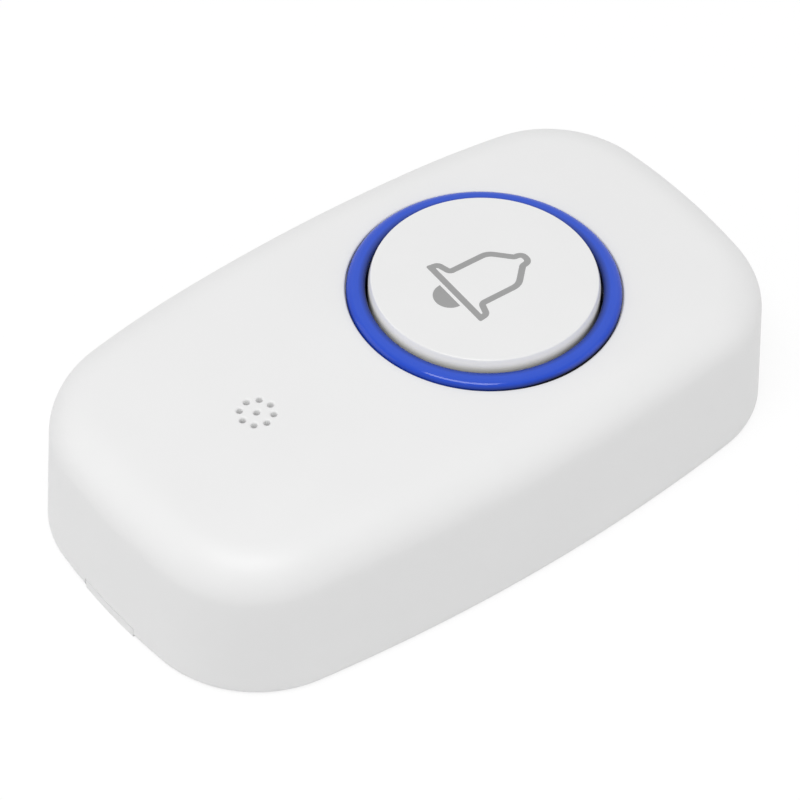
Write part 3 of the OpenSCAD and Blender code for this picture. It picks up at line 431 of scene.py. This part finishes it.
# Housing: a closed grid. Its rows run from the ring's recess over the crowned top, round the edge,
# down the drafted wall, under the rim, up inside and back along the ceiling to the collar. A block of
# cells in top and ceiling makes room for the sound holes, another at the lower end for the pry notch
def makeShell():
    s = shell
    height, rimLow = shellHigh[2], shellLow[2]
    ceiling = height - s["topWall"]
    slope = math.tan(math.radians(s["draft"]))
    rimTop = rimLow + s["rimRound"]
    halfWidth = shellHigh[0] + rimTop * slope
    halfLength = min(shellHigh[1], -shellLow[1]) + rimTop * slope
    centre, radius, normal, notchStart = outlineColumns(halfWidth, halfLength)
    notchCount, fan = s["notchSteps"], s["topSteps"]

    # Insets and heights of the rows that follow the outline
    edgeZ = height - s["edge"]
    lean = math.atan(slope + 2 * s["bulge"] / edgeZ)
    edgeFoot = edgeZ + s["edge"] * math.sin(lean)

    def wallInset(z):
        return z * slope + s["bulge"] * (z / edgeFoot) ** 2

    edgeInset = wallInset(edgeFoot) + s["edge"] * math.cos(lean)
    bend = np.linspace(np.pi / 2, lean, s["edgeSteps"] + 1)
    outer = [(edgeInset - s["edge"] * math.cos(a), edgeZ + s["edge"] * math.sin(a)) for a in bend]
    outer += [(wallInset(z), z) for z in (*s["wallRows"], s["notchTop"], s["footRow"], rimTop)]
    rim, rimInset = s["rimRound"], wallInset(rimTop)
    outer += [(rimInset + rim * (1 - math.cos(a)), rimTop - rim * math.sin(a)) for a in quarter[1:]]
    inside = [(s["wall"] + z * slope, z) for z in (rimLow, s["notchTop"], *s["innerRows"])]
    innerWide, innerRise = edgeInset - s["wall"] - edgeZ * slope, ceiling - edgeZ
    innerBend = np.linspace(0, np.pi / 2, s["innerSteps"] + 1)
    inside += [(edgeInset - innerWide * math.cos(a), edgeZ + innerRise * math.sin(a)) for a in innerBend]

    def outlineRows(pairs):
        inset, z = np.array(pairs).T
        return atHeight(centre + (radius - inset[:, None])[:, :, None] * normal, z)

    # Rows of the top and the ceiling lead from a circle round the button to the edge's upper end
    edgeLoop = centre + (radius - edgeInset)[:, None] * normal
    away = edgeLoop - buttonCentre
    away /= np.linalg.norm(away, axis=1)[:, None]

    def circleRows(pairs):
        r, z = np.array(pairs).T
        return atHeight(buttonCentre + r[:, None, None] * away, z)

    collarLoop = buttonCentre + s["collarRadius"] * away
    startY, endY = buttonCentre[1] - s["collarRadius"], edgeInset - halfLength
    blockShare = (startY - (soundCentre[1] + s["soundBlock"] * np.array([1, -1]))) / (startY - endY)
    share = np.concatenate([np.linspace(0, blockShare[0], fan + 1)[:-1],
                            np.linspace(blockShare[0], blockShare[1], notchCount + 1),
                            np.linspace(blockShare[1], 1, fan + 1)[1:-1]])

    def blendRows(z):
        return atHeight(collarLoop * (1 - share)[:, None, None] + edgeLoop * share[:, None, None], z)

    rounding, lip = s["recessRound"], s["recessRadius"]
    lipRows = [(lip + rounding * (1 - math.cos(a)), height - rounding * (1 - math.sin(a)))
               for a in quarter]
    floor = height - s["recessDepth"]
    groups = [circleRows(lipRows), blendRows(height), outlineRows(outer), outlineRows(inside),
              blendRows(ceiling)[::-1],
              circleRows([(s["collarRadius"], s["collarLow"]), (s["seatRadius"], s["collarLow"]),
                          (s["seatRadius"], floor), (lip, floor)])]
    starts = np.cumsum([0] + [len(group) for group in groups])
    topStart, outerStart, insideStart, collarStart = starts[[1, 2, 3, 5]]
    for group in groups[:3]:    # only the outside is crowned
        weight = np.clip((group[..., 2] - s["crownFloor"]) / (height - s["crownFloor"]), 0, 1)
        group[..., 2] -= crown(group[..., :2]) * weight
    points = np.concatenate(groups)

    # Cells that are left out
    keep = np.ones(points.shape[:2], bool)
    across = slice(notchStart, notchStart + notchCount)
    topFirst = topStart + fan
    ceilingFirst = collarStart - 1 - fan - notchCount
    keep[topFirst:topFirst + notchCount, across] = False
    keep[ceilingFirst:ceilingFirst + notchCount, across] = False
    notchOut = outerStart + len(bend) + len(s["wallRows"])
    notchIn = insideStart + 1
    keep[notchOut:notchIn, across] = False
    parts = [(points, gridFaces(points, True, True, keep))]

    # Notch: its ceiling and two cheeks
    used = np.arange(notchStart, notchStart + notchCount + 1)
    strip = np.stack([points[notchOut, used], points[notchIn, used]])
    parts.append((strip, gridFaces(strip, False, False)))
    for column in used[[0, -1]]:
        cheek = points[notchOut:notchIn + 1, column]
        parts.append((cheek, [list(range(len(cheek)))]))

    # Sound holes: the block's border leads to a circle, the circle is cut into sectors, and each
    # sector's border leads down through its hole to the same sector below. Underneath, a round
    # pocket leaves only a thin web for the holes to pass
    borderCount = 4 * notchCount
    perSector = borderCount // s["soundCount"]
    around = pointing(np.radians(-45 + 360 * np.arange(borderCount) / borderCount))    # from a corner
    webLow = height - s["soundWeb"]

    def soundRing(r, z):
        return atHeight(soundCentre + r * around, z)

    def blockBorder(first, flip):
        block = points[first:first + notchCount + 1, notchStart:notchStart + notchCount + 1][::flip]
        return np.concatenate([block[:0:-1, -1], block[0, :0:-1], block[:-1, 0], block[-1, :-1]])

    topRing = soundRing(s["soundOuter"], height)
    topRing[:, 2] -= crown(topRing[:, :2])
    topBorder = blockBorder(topFirst, 1)
    topFan = np.stack([topBorder, (topBorder + topRing) / 2, topRing])
    pocketFan = np.stack([blockBorder(ceilingFirst, -1), soundRing(s["soundPocket"], ceiling),
                          soundRing(s["soundPocket"], webLow), soundRing(s["soundOuter"], webLow)])
    parts += [(topFan, gridFaces(topFan)), (pocketFan, gridFaces(pocketFan))]

    # Border, half way to the rim, the rim's rounding, the hole's narrower foot, and back along the web
    def holeStrip(border, middle, around):
        widths = s["soundThroat"] + s["soundRound"] * (1 - np.sin(quarter))
        rims = middle + widths[:, None, None] * around
        foot = middle + s["soundFoot"] * around
        above, below = [border, (border + rims[0]) / 2], [foot, (border + foot) / 2, border]
        flats = np.concatenate([above, rims, below])
        z = height - crown(flats)
        z[len(above):-len(below)] -= s["soundRound"] * (1 - np.cos(quarter))[:, None]
        z[-len(below):] = webLow
        strip = atHeight(flats, z)
        return strip, gridFaces(strip)

    # A sector's border has four sides: outer arc, radius, inner arc and radius
    nearest, farthest = s["soundInner"], s["soundOuter"]
    halfTurn = np.pi / s["soundCount"]
    arc = np.linspace(-halfTurn, halfTurn, perSector + 1)
    radial = np.linspace(farthest, nearest, perSector + 1)
    one = np.ones(perSector)
    sectorRadius = np.concatenate([farthest * one, radial[:-1], nearest * one, radial[:0:-1]])
    sectorTurn = np.concatenate([arc[:-1], halfTurn * one, arc[:0:-1], -halfTurn * one])
    holeTurn = 2 * np.pi * (np.arange(4 * perSector) - perSector / 2) / (4 * perSector)
    for k in range(s["soundCount"]):
        facing = 2 * np.pi * k / s["soundCount"]
        border = soundCentre + sectorRadius[:, None] * pointing(sectorTurn + facing)
        middle = soundCentre + s["soundCircle"] * pointing(facing)
        parts.append(holeStrip(border, middle, pointing(holeTurn + facing)))
    parts.append(holeStrip(soundCentre + nearest * around, soundCentre, around))

    # Bosses for the board's screws
    bossTop = ceiling + s["bossLap"]
    boss = [(s["bossBore"], bossTop), (s["bossRadius"], bossTop),
            (s["bossRadius"], s["bossLow"]), (s["bossBore"], s["bossLow"])]
    for y in s["bossY"]:
        for x in (-s["bossX"], s["bossX"]):
            parts.append(lathe(boss, (x, y), s["bossSteps"], True))
    return makePiece("frontShell", parts, "housing", made["abs-moulded-satin-white"],
                     ["front_shell"])


frontShell = makeShell()
print("shell:", len(frontShell.data.polygons), "faces")

ring = {
    "inner": 13.4, "innerRound": 0.45, "edge": 0.1, "steps": 240,
    "roundWide": 1.15, "roundDeep": 0.98, "roundSteps": 20,                     # ellipse of the outer edge
    # Painted shade on the ring: darker towards the gap round the cap, down the outer edge and most on the
    # +X side, where the lamps reach least; a deeper blue over the outer edge offsets its pale reflection
    "paintedShadingFrom": 14.25, "shadeRows": (14.0, 14.15, 14.25), "shadeMost": 0.8,    # darker towards the gap
    "footFrom": 19.8, "footFull": 19.3, "footMost": 0.5,                        # and down the outer edge,
    "sideShadeMost": 0.6, "sidePower": 4,                                            # more so on one side
    "edgeShadeFrom": 14.9, "edgeShadeFull": 15.3,                                         # deeper blue on that edge
    "tube": 15.1, "lipLow": 18.82, "tubeLow": 15.4,
    "pipeLow": ringLow[2], "pipeWide": 26.0, "pipeTurns": (45, 135, 225, 315), "pipeLap": 0.5,
}


# Light ring: a lathe profile that rolls over at its inner edge and turns down in a quarter ellipse at
# its outer one, and four light pipes below it. Its attributes paint shade on it: darker towards the gap
# round the cap and down the outer edge, most on the +X side, which the lamps reach least, and a deeper
# blue that grows with the radius over the outer edge, painted shade that offsets its pale reflection
def makeRing():
    top, outer = ringHigh[2], (ringHigh[0] - ringLow[0]) / 2
    turns = np.linspace(0, np.pi / 2, ring["roundSteps"])
    over = np.column_stack([outer - ring["roundWide"] * (1 - np.sin(turns)),
                            top - ring["roundDeep"] * (1 - np.cos(turns)), 0 * turns])
    profile = rounded([
        (ring["inner"], top, ring["innerRound"]), *[(r, top, 0) for r in ring["shadeRows"]], *over,
        (outer, ring["lipLow"], ring["edge"]), (ring["tube"], ring["lipLow"], 0),
        (ring["tube"], ring["tubeLow"], 0), (ring["inner"], ring["tubeLow"], 0),
    ])
    parts = [lathe(profile, buttonCentre, ring["steps"], True)]
    for turn in ring["pipeTurns"]:
        outline = sector(buttonCentre, ring["inner"], ring["tube"], turn, ring["pipeWide"])
        parts.append(prism(outline, ring["pipeLow"], ring["tubeLow"] + ring["pipeLap"]))
    piece = makePiece("lightRing", parts, "housing", made["polycarbonate-moulded-blue"],
                      ["light_ring"])
    places = vertexPlaces(piece)
    away = places[:, :2] - buttonCentre
    radius = np.linalg.norm(away, axis=1)
    # Painted shade: amounts that darken the ring towards the gap round the cap, down its outer edge and
    # most on its +X side
    inwards = np.clip((ring["paintedShadingFrom"] - radius) / (ring["paintedShadingFrom"] - ring["inner"]), 0, 1)
    downwards = np.clip((ring["footFrom"] - places[:, 2]) / (ring["footFrom"] - ring["footFull"]), 0, 1)
    downwards *= radius > outer - ring["roundWide"]
    shadedSide = np.clip(away[:, 0] / radius, 0, 1) ** ring["sidePower"]
    foot = (ring["footMost"] + ring["sideShadeMost"] * shadedSide) * downwards
    giveAttribute(piece, "paintedShading", ring["shadeMost"] * inwards + foot)
    # Painted shade: a deeper blue that grows over the outer edge, offsetting its pale reflection
    giveAttribute(piece, "deep", (radius - ring["edgeShadeFrom"]) / (ring["edgeShadeFull"] - ring["edgeShadeFrom"]))
    return piece


lightRing = makeRing()
print("ring:", len(lightRing.data.polygons), "faces")

cap = {
    "radius": 13.1, "topRadius": 12.83, "edge": 0.25, "top": capHigh[2] - 0.02, "wideFrom": 20.35,
    # The painted light down the cap's wall starts at one height and is full at the next
    "wideRound": 2.0, "paintedShadingFrom": 21.0, "paintedShadingFull": 20.1, "under": 19.7, "skirtInner": 11.5,
    "bossRadius": 4.03, "bossLow": 18.5, "postRadius": 1.6, "postLow": 15.0, "skirtLow": 14.15,
    "lugRadius": 14.85, "lugTop": 15.35, "lugWide": 44.0, "lugTurns": (0, 90, 180, 270),
    "ribInner": 5.65, "ribWide": 1.0, "ribDeep": 1.4, "ribTurns": (45, 135, 225, 315), "lap": 0.5,
    "skirtRound": 0.1, "underRound": 0.2, "bossRound": 0.15, "postRound": 0.2,
    "steps": 240, "roundSteps": 10,
}


# Button cap: a lathe profile with a rounded rim and a leaning wall, a skirt, and a boss and post that
# press the switch. Lugs at the skirt stop it, ribs stiffen it. An attribute that grows down the wall
# paints it paler and warmer there, painted light
def makeCap():
    c = cap
    half = rounded([
        (0, c["top"], 0), (c["topRadius"], c["top"], c["edge"]),
        (c["radius"], c["wideFrom"], c["wideRound"]), (c["radius"], c["skirtLow"], c["skirtRound"]),
        (c["skirtInner"], c["skirtLow"], c["skirtRound"]), (c["skirtInner"], c["under"], c["underRound"]),
        (c["bossRadius"], c["under"], 0), (c["bossRadius"], c["bossLow"], c["bossRound"]),
        (c["postRadius"], c["bossLow"], c["bossRound"]), (c["postRadius"], c["postLow"], c["postRound"]),
        (0, c["postLow"], 0),
    ], closed=False, steps=c["roundSteps"])
    parts = [lathe(half, buttonCentre, c["steps"])]
    for turn in c["lugTurns"]:
        outline = sector(buttonCentre, c["radius"] - c["lap"], c["lugRadius"], turn, c["lugWide"])
        parts.append(prism(outline, c["skirtLow"], c["lugTop"]))
    for turn in np.radians(c["ribTurns"]):
        out, side = np.array([np.cos(turn), np.sin(turn)]), np.array([-np.sin(turn), np.cos(turn)])
        near, far = c["ribInner"] * out, (c["skirtInner"] + c["lap"]) * out
        beside = c["ribWide"] / 2 * side
        outline = buttonCentre + np.array([far - beside, far + beside, near + beside, near - beside])
        parts.append(prism(outline, c["under"] - c["ribDeep"], c["under"] + c["lap"]))
    piece = makePiece("buttonCap", parts, "button", made["abs-moulded-smooth-white"],
                      ["button_cap"])
    # Painted light: the wall turns paler and warmer from the rim down
    below = c["paintedShadingFrom"] - vertexPlaces(piece)[:, 2]
    giveAttribute(piece, "paintedShading", below / (c["paintedShadingFrom"] - c["paintedShadingFull"]))
    return piece


buttonCap = makeCap()
print("cap:", len(buttonCap.data.polygons), "faces")

sign = {
    "stroke": 0.76, "turn": -2.2, "centre": (0.1, 0.0),
    "low": cap["top"] - 0.01, "top": capHigh[2] - 0.003,
    # Right half of the bell's middle line, from the bar's end to the knob: x, y, rounding
    "half": [(4.78, -4.12, 0), (4.66, -3.22, 0.6), (3.02, -2.72, 0.55), (3.0, 2.45, 1.8),
             (0.84, 4.6, 0.45), (0.66, 5.64, 0.64)],
    "tipRound": 0.2, "leastRound": 0.05, "clapperY": -4.9, "clapperRadius": 1.93, "clapperSteps": 33,
}


# Bell sign printed on the cap: a closed ribbon of even width along the bell's outline. Each corner
# of the line moves to both sides along its mitre, and its rounding grows outside a bend by half the
# width and shrinks inside. A half disc is the clapper
def makeSign():
    right = np.array(sign["half"])
    corners = np.concatenate([right, right[::-1] * [-1, 1, 1]])
    ahead = np.roll(corners[:, :2], -1, axis=0) - corners[:, :2]
    ahead /= np.linalg.norm(ahead, axis=1)[:, None]
    behind = np.roll(ahead, 1, axis=0)
    across = (ahead + behind)[:, ::-1] * [1, -1]
    half = sign["stroke"] / 2
    mitre = half * across / (1 + np.sum(ahead * behind, axis=1))[:, None]
    bend = half * np.sign(behind[:, 0] * ahead[:, 1] - behind[:, 1] * ahead[:, 0])
    outerRound = np.maximum(corners[:, 2] + bend, sign["leastRound"])
    outerRound[corners[:, 2] == 0] = sign["tipRound"]
    innerRound = np.maximum(corners[:, 2] - bend, sign["leastRound"])
    outerLine = rounded(np.column_stack([corners[:, :2] + mitre, outerRound]))
    innerLine = rounded(np.column_stack([corners[:, :2] - mitre, innerRound]))
    turn = math.radians(sign["turn"])
    spin = np.array([[math.cos(turn), -math.sin(turn)], [math.sin(turn), math.cos(turn)]])

    def placed(flat):
        return np.asarray(flat) @ spin.T + buttonCentre + sign["centre"]

    inside, outside = placed(innerLine), placed(outerLine)
    ribbon = atHeight(np.stack([inside, outside, outside, inside]),
                      [sign["top"], sign["top"], sign["low"], sign["low"]])
    halfDisc = pointing(np.linspace(-np.pi, 0, sign["clapperSteps"]))
    clapper = placed(sign["clapperRadius"] * halfDisc + [0, sign["clapperY"]])
    parts = [(ribbon, gridFaces(ribbon, True)), prism(clapper, sign["low"], sign["top"])]
    return makePiece("bellSign", parts, "button", made["pad-print-ink-grey"])


bellSign = makeSign()
print("sign:", len(bellSign.data.polygons), "faces")

# Wound wires; steps are points in a turn
returnCoil = {"radius": 4.9, "wire": 0.5, "turns": 6, "endRise": 1.1, "steps": 40, "spare": 0.02}
antenna = {"radius": 2.3, "wire": 0.6, "turns": 12.5, "pitch": 1.3, "steps": 32, "legSteps": 8}
cellCoil = {"wide": 2.6, "narrow": 1.2, "wire": 0.4, "turns": 2, "steps": 40}


# Return spring: a helix about the button's axis whose first and last turns lie closer than the rest
def makeReturnSpring():
    c = returnCoil
    low, high = boxOf("return_spring")
    turn = np.arange(c["turns"] * c["steps"] + 1) / c["steps"]
    rise = high[2] - low[2] - c["wire"]
    height = np.interp(turn, [0, 1, c["turns"] - 1, c["turns"]],
                       [0, c["endRise"], rise - c["endRise"], rise])
    out = np.stack([np.cos(2 * np.pi * turn), np.sin(2 * np.pi * turn), 0 * turn], axis=-1)
    path = c["radius"] * out
    path[:, 2] = height + low[2] + c["wire"] / 2
    path[:, :2] += buttonCentre
    piece = makePiece("returnSpring", [tube(path, c["wire"] / 2, out)], "housing",
                      made["spring-steel-drawn"], ["return_spring"])
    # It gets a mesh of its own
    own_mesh(piece)
    return piece


# Antenna: a helix along X whose two ends run straight down into the board
def makeAntenna():
    c = antenna
    low, high = boxOf("antenna_coil")
    turn = np.arange(int(c["turns"] * c["steps"]) + 1) / c["steps"]
    out = np.stack([0 * turn, np.cos(2 * np.pi * turn), np.sin(2 * np.pi * turn)], axis=-1)
    axisY, axisZ = (low[1] + high[1]) / 2, high[2] - c["wire"] / 2 - c["radius"]
    start = np.array([-c["pitch"] * c["turns"] / 2, axisY, axisZ])
    path = start + c["radius"] * out + turn[:, None] * [c["pitch"], 0, 0]
    legs = c["legSteps"]
    drop = np.linspace(1, 0, legs, endpoint=False)[:, None] * [0, 0, low[2] - axisZ]
    path = np.concatenate([path[0] + drop, path, path[-1] + drop[::-1]])
    out = np.concatenate([np.tile(out[0], (legs, 1)), out, np.tile(out[-1], (legs, 1))])
    return makePiece("antennaCoil", [tube(path, c["wire"] / 2, out)], "housing",
                     made["copper-enamelled"], ["antenna_coil"])


# Battery spring: a cone that winds from its plate to the cell
def makeCellSpring():
    c = cellCoil
    low, high = boxOf("battery_spring")
    part = np.arange(c["turns"] * c["steps"] + 1) / (c["turns"] * c["steps"])
    turn = 2 * np.pi * c["turns"] * part
    out = np.stack([0 * turn, np.cos(turn), np.sin(turn)], axis=-1)
    radius = c["wide"] + (c["narrow"] - c["wide"]) * part
    cellLow, cellHigh = boxOf("battery_cell")
    path = radius[:, None] * out + (cellLow + cellHigh) / 2
    path[:, 0] = low[0] + c["wire"] / 2 + part * (high[0] - low[0] - c["wire"])
    return makePiece("batterySpring", [tube(path, c["wire"] / 2, out)], "housing",
                     made["nickel-plated-steel"], ["battery_spring"])


makeReturnSpring()
makeAntenna()
makeCellSpring()
print("wound wires made")

seal = {"wide": 1.3, "bulge": 0.1, "rows": 9, "steps": 96, "fill": 0.9}


# Foam seal: a ring whose free sides bulge a little under the shell's pressure, as half a sine wave
def makeSeal():
    low, high = boxOf("buzzer_seal")
    outer = (high[0] - low[0]) / 2 - seal["bulge"]
    inner = outer - seal["wide"]
    rise = np.linspace(0, np.pi, seal["rows"])
    bulge = seal["bulge"] * np.sin(rise)
    z = low[2] + (high[2] - low[2]) * (1 - np.cos(rise)) / 2
    profile = np.concatenate([np.stack([outer + bulge, z], -1)[::-1], np.stack([inner - bulge, z], -1)])
    piece = makePiece("buzzerSeal", [lathe(profile, soundCentre, seal["steps"], True)], "housing",
                      made["foam-closed-cell"], ["buzzer_seal"])
    return piece


makeSeal()
print("seal made")

# Finishes of the CAD nodes that show as they are
nodeFinishes = {
    "rear_plate": "abs-moulded-satin-white",
    "switch_base": "nylon-moulded-black", "switch_plunger": "nylon-moulded-black",
    "switch_cover": "stainless-sheet-stamped", "switch_pins": "tin-plated",
    "circuit_board": "laminate-solder-mask", "ring_leds": "diode-package-white",
    "controller_chip": "epoxy-moulded-charcoal", "controller_leads": "tin-plated",
    "rf_resonator": "nickel-plated-steel", "resonator_leads": "tin-plated",
    "rf_transistor": "epoxy-moulded-charcoal", "storage_capacitor": "aluminium-drawn",
    "chip_resistors": "epoxy-moulded-charcoal", "chip_capacitors": "ceramic-fired-tan",
    "buzzer_body": "nylon-moulded-black", "buzzer_pins": "tin-plated",
    "battery_cell": "film-shrunk-grey", "battery_plus_contact": "nickel-plated-steel",
    "battery_minus_contact": "nickel-plated-steel", "board_screws": "zinc-plated-steel",
}
for node, finish in nodeFinishes.items():
    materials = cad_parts[node].data.materials
    materials.clear()
    materials.append(made[finish])
print("CAD nodes dressed:", len(nodeFinishes))

# Studio: white floor and world, soft lamps. A lamp has its place and size in millimetres and its watts
studio = {
    "floorHalf": 3000.0, "floorDrop": 0.02,
    "floorColour": "E0E0E0", "floorShare": 0.75, "floorGlow": 1.1,
    "worldColour": "FFFFFF", "worldLight": 0.615,
    "lamps": [
        ("keyLamp", (170, -300, 850), (560, 220), 3.0),
        ("leftLamp", (-532, -657, 308), (600, 600), 0.85),
        ("rightLamp", (640, 560, 308), (600, 600), 0.75),
    ],
}


# White that the camera, mirrors and glass see, mixed over what lights the object
def seenWhite(tree, share):
    path = addNode(tree, "ShaderNodeLightPath")
    either = addNode(tree, "ShaderNodeMath", {
        0: path.outputs["Is Camera Ray"], 1: path.outputs["Is Glossy Ray"]}, operation="MAXIMUM")
    anyRay = addNode(tree, "ShaderNodeMath", {
        0: either.outputs["Value"], 1: path.outputs["Is Transmission Ray"]}, operation="MAXIMUM")
    return addNode(tree, "ShaderNodeMath", {0: anyRay.outputs["Value"], 1: share}, operation="MULTIPLY")


# Floor: a square of matt paper just below the object. Lamps face the origin
def makeStudio():
    half = studio["floorHalf"] * mm
    mesh = bpy.data.meshes.new("floor")
    z = -studio["floorDrop"] * mm
    corners = [(-half, -half, z), (half, -half, z), (half, half, z), (-half, half, z)]
    mesh.from_pydata(corners, [], [(0, 1, 2, 3)])
    floor = bpy.data.objects.new("floor", mesh)
    bpy.context.scene.collection.objects.link(floor)
    material = bpy.data.materials.new("paper-matt-white")
    material.use_nodes = True
    tree = material.node_tree
    tree.nodes.clear()
    paper = addNode(tree, "ShaderNodeBsdfDiffuse", {"Color": linear(studio["floorColour"])})
    glow = addNode(tree, "ShaderNodeEmission", {"Color": (1, 1, 1, 1), "Strength": studio["floorGlow"]})
    seen = seenWhite(tree, studio["floorShare"])
    mixed = addNode(tree, "ShaderNodeMixShader", {
        0: seen.outputs["Value"], 1: paper.outputs["BSDF"], 2: glow.outputs["Emission"]})
    addNode(tree, "ShaderNodeOutputMaterial", {"Surface": mixed.outputs["Shader"]})
    mesh.materials.append(material)

    world = bpy.data.worlds.new("studioWorld")
    bpy.context.scene.world = world
    world.use_nodes = True
    tree = world.node_tree
    tree.nodes.clear()
    light = addNode(tree, "ShaderNodeBackground", {
        "Color": linear(studio["worldColour"]), "Strength": studio["worldLight"]})
    white = addNode(tree, "ShaderNodeBackground", {"Color": (1, 1, 1, 1), "Strength": 1.0})
    seen = seenWhite(tree, 1.0)
    mixed = addNode(tree, "ShaderNodeMixShader", {
        0: seen.outputs["Value"], 1: light.outputs["Background"], 2: white.outputs["Background"]})
    addNode(tree, "ShaderNodeOutputWorld", {"Surface": mixed.outputs["Shader"]})

    for name, place, (wide, deep), power in studio["lamps"]:
        data = bpy.data.lights.new(name, "AREA")
        data.shape = "RECTANGLE"
        data.size, data.size_y = wide * mm, deep * mm
        data.energy = power
        lamp = bpy.data.objects.new(name, data)
        lamp.location = Vector(place) * mm
        lamp.rotation_euler = (-Vector(place)).to_track_quat("-Z", "Y").to_euler()
        bpy.context.scene.collection.objects.link(lamp)


makeStudio()
print("studio: floor, world and", len(studio["lamps"]), "lamps")

# Camera at the photograph's angle: turned round the object, raised, rolled a little, and moved sideways
# and up in its own plane. Angles are degrees, lengths millimetres
lens = {
    "azimuth": 51.133, "elevation": 46.916, "roll": 1.678, "distance": 520.873,
    "right": -0.932, "up": 5.252, "focal": 204.487, "sensor": 36.0, "near": 10.0, "far": 20000.0,
}


def makeCamera():
    azimuth, elevation, roll = (math.radians(lens[k]) for k in ("azimuth", "elevation", "roll"))
    back = Vector((math.sin(azimuth) * math.cos(elevation), -math.cos(azimuth) * math.cos(elevation),
                   math.sin(elevation)))
    level = Vector((math.cos(azimuth), math.sin(azimuth), 0))
    steep = back.cross(level)
    right = math.cos(roll) * level + math.sin(roll) * steep
    up = math.cos(roll) * steep - math.sin(roll) * level
    data = bpy.data.cameras.new("photoCamera")
    data.lens, data.sensor_width = lens["focal"], lens["sensor"]
    data.clip_start, data.clip_end = lens["near"] * mm, lens["far"] * mm
    camera = bpy.data.objects.new("photoCamera", data)
    turned = Matrix((right, up, back)).transposed().to_4x4()
    place = (lens["right"] * right + lens["up"] * up + lens["distance"] * back) * mm
    camera.matrix_world = Matrix.Translation(place) @ turned
    bpy.context.scene.collection.objects.link(camera)
    bpy.context.scene.camera = camera


makeCamera()
bpy.context.scene.view_settings.view_transform = "Standard"
print("camera set")
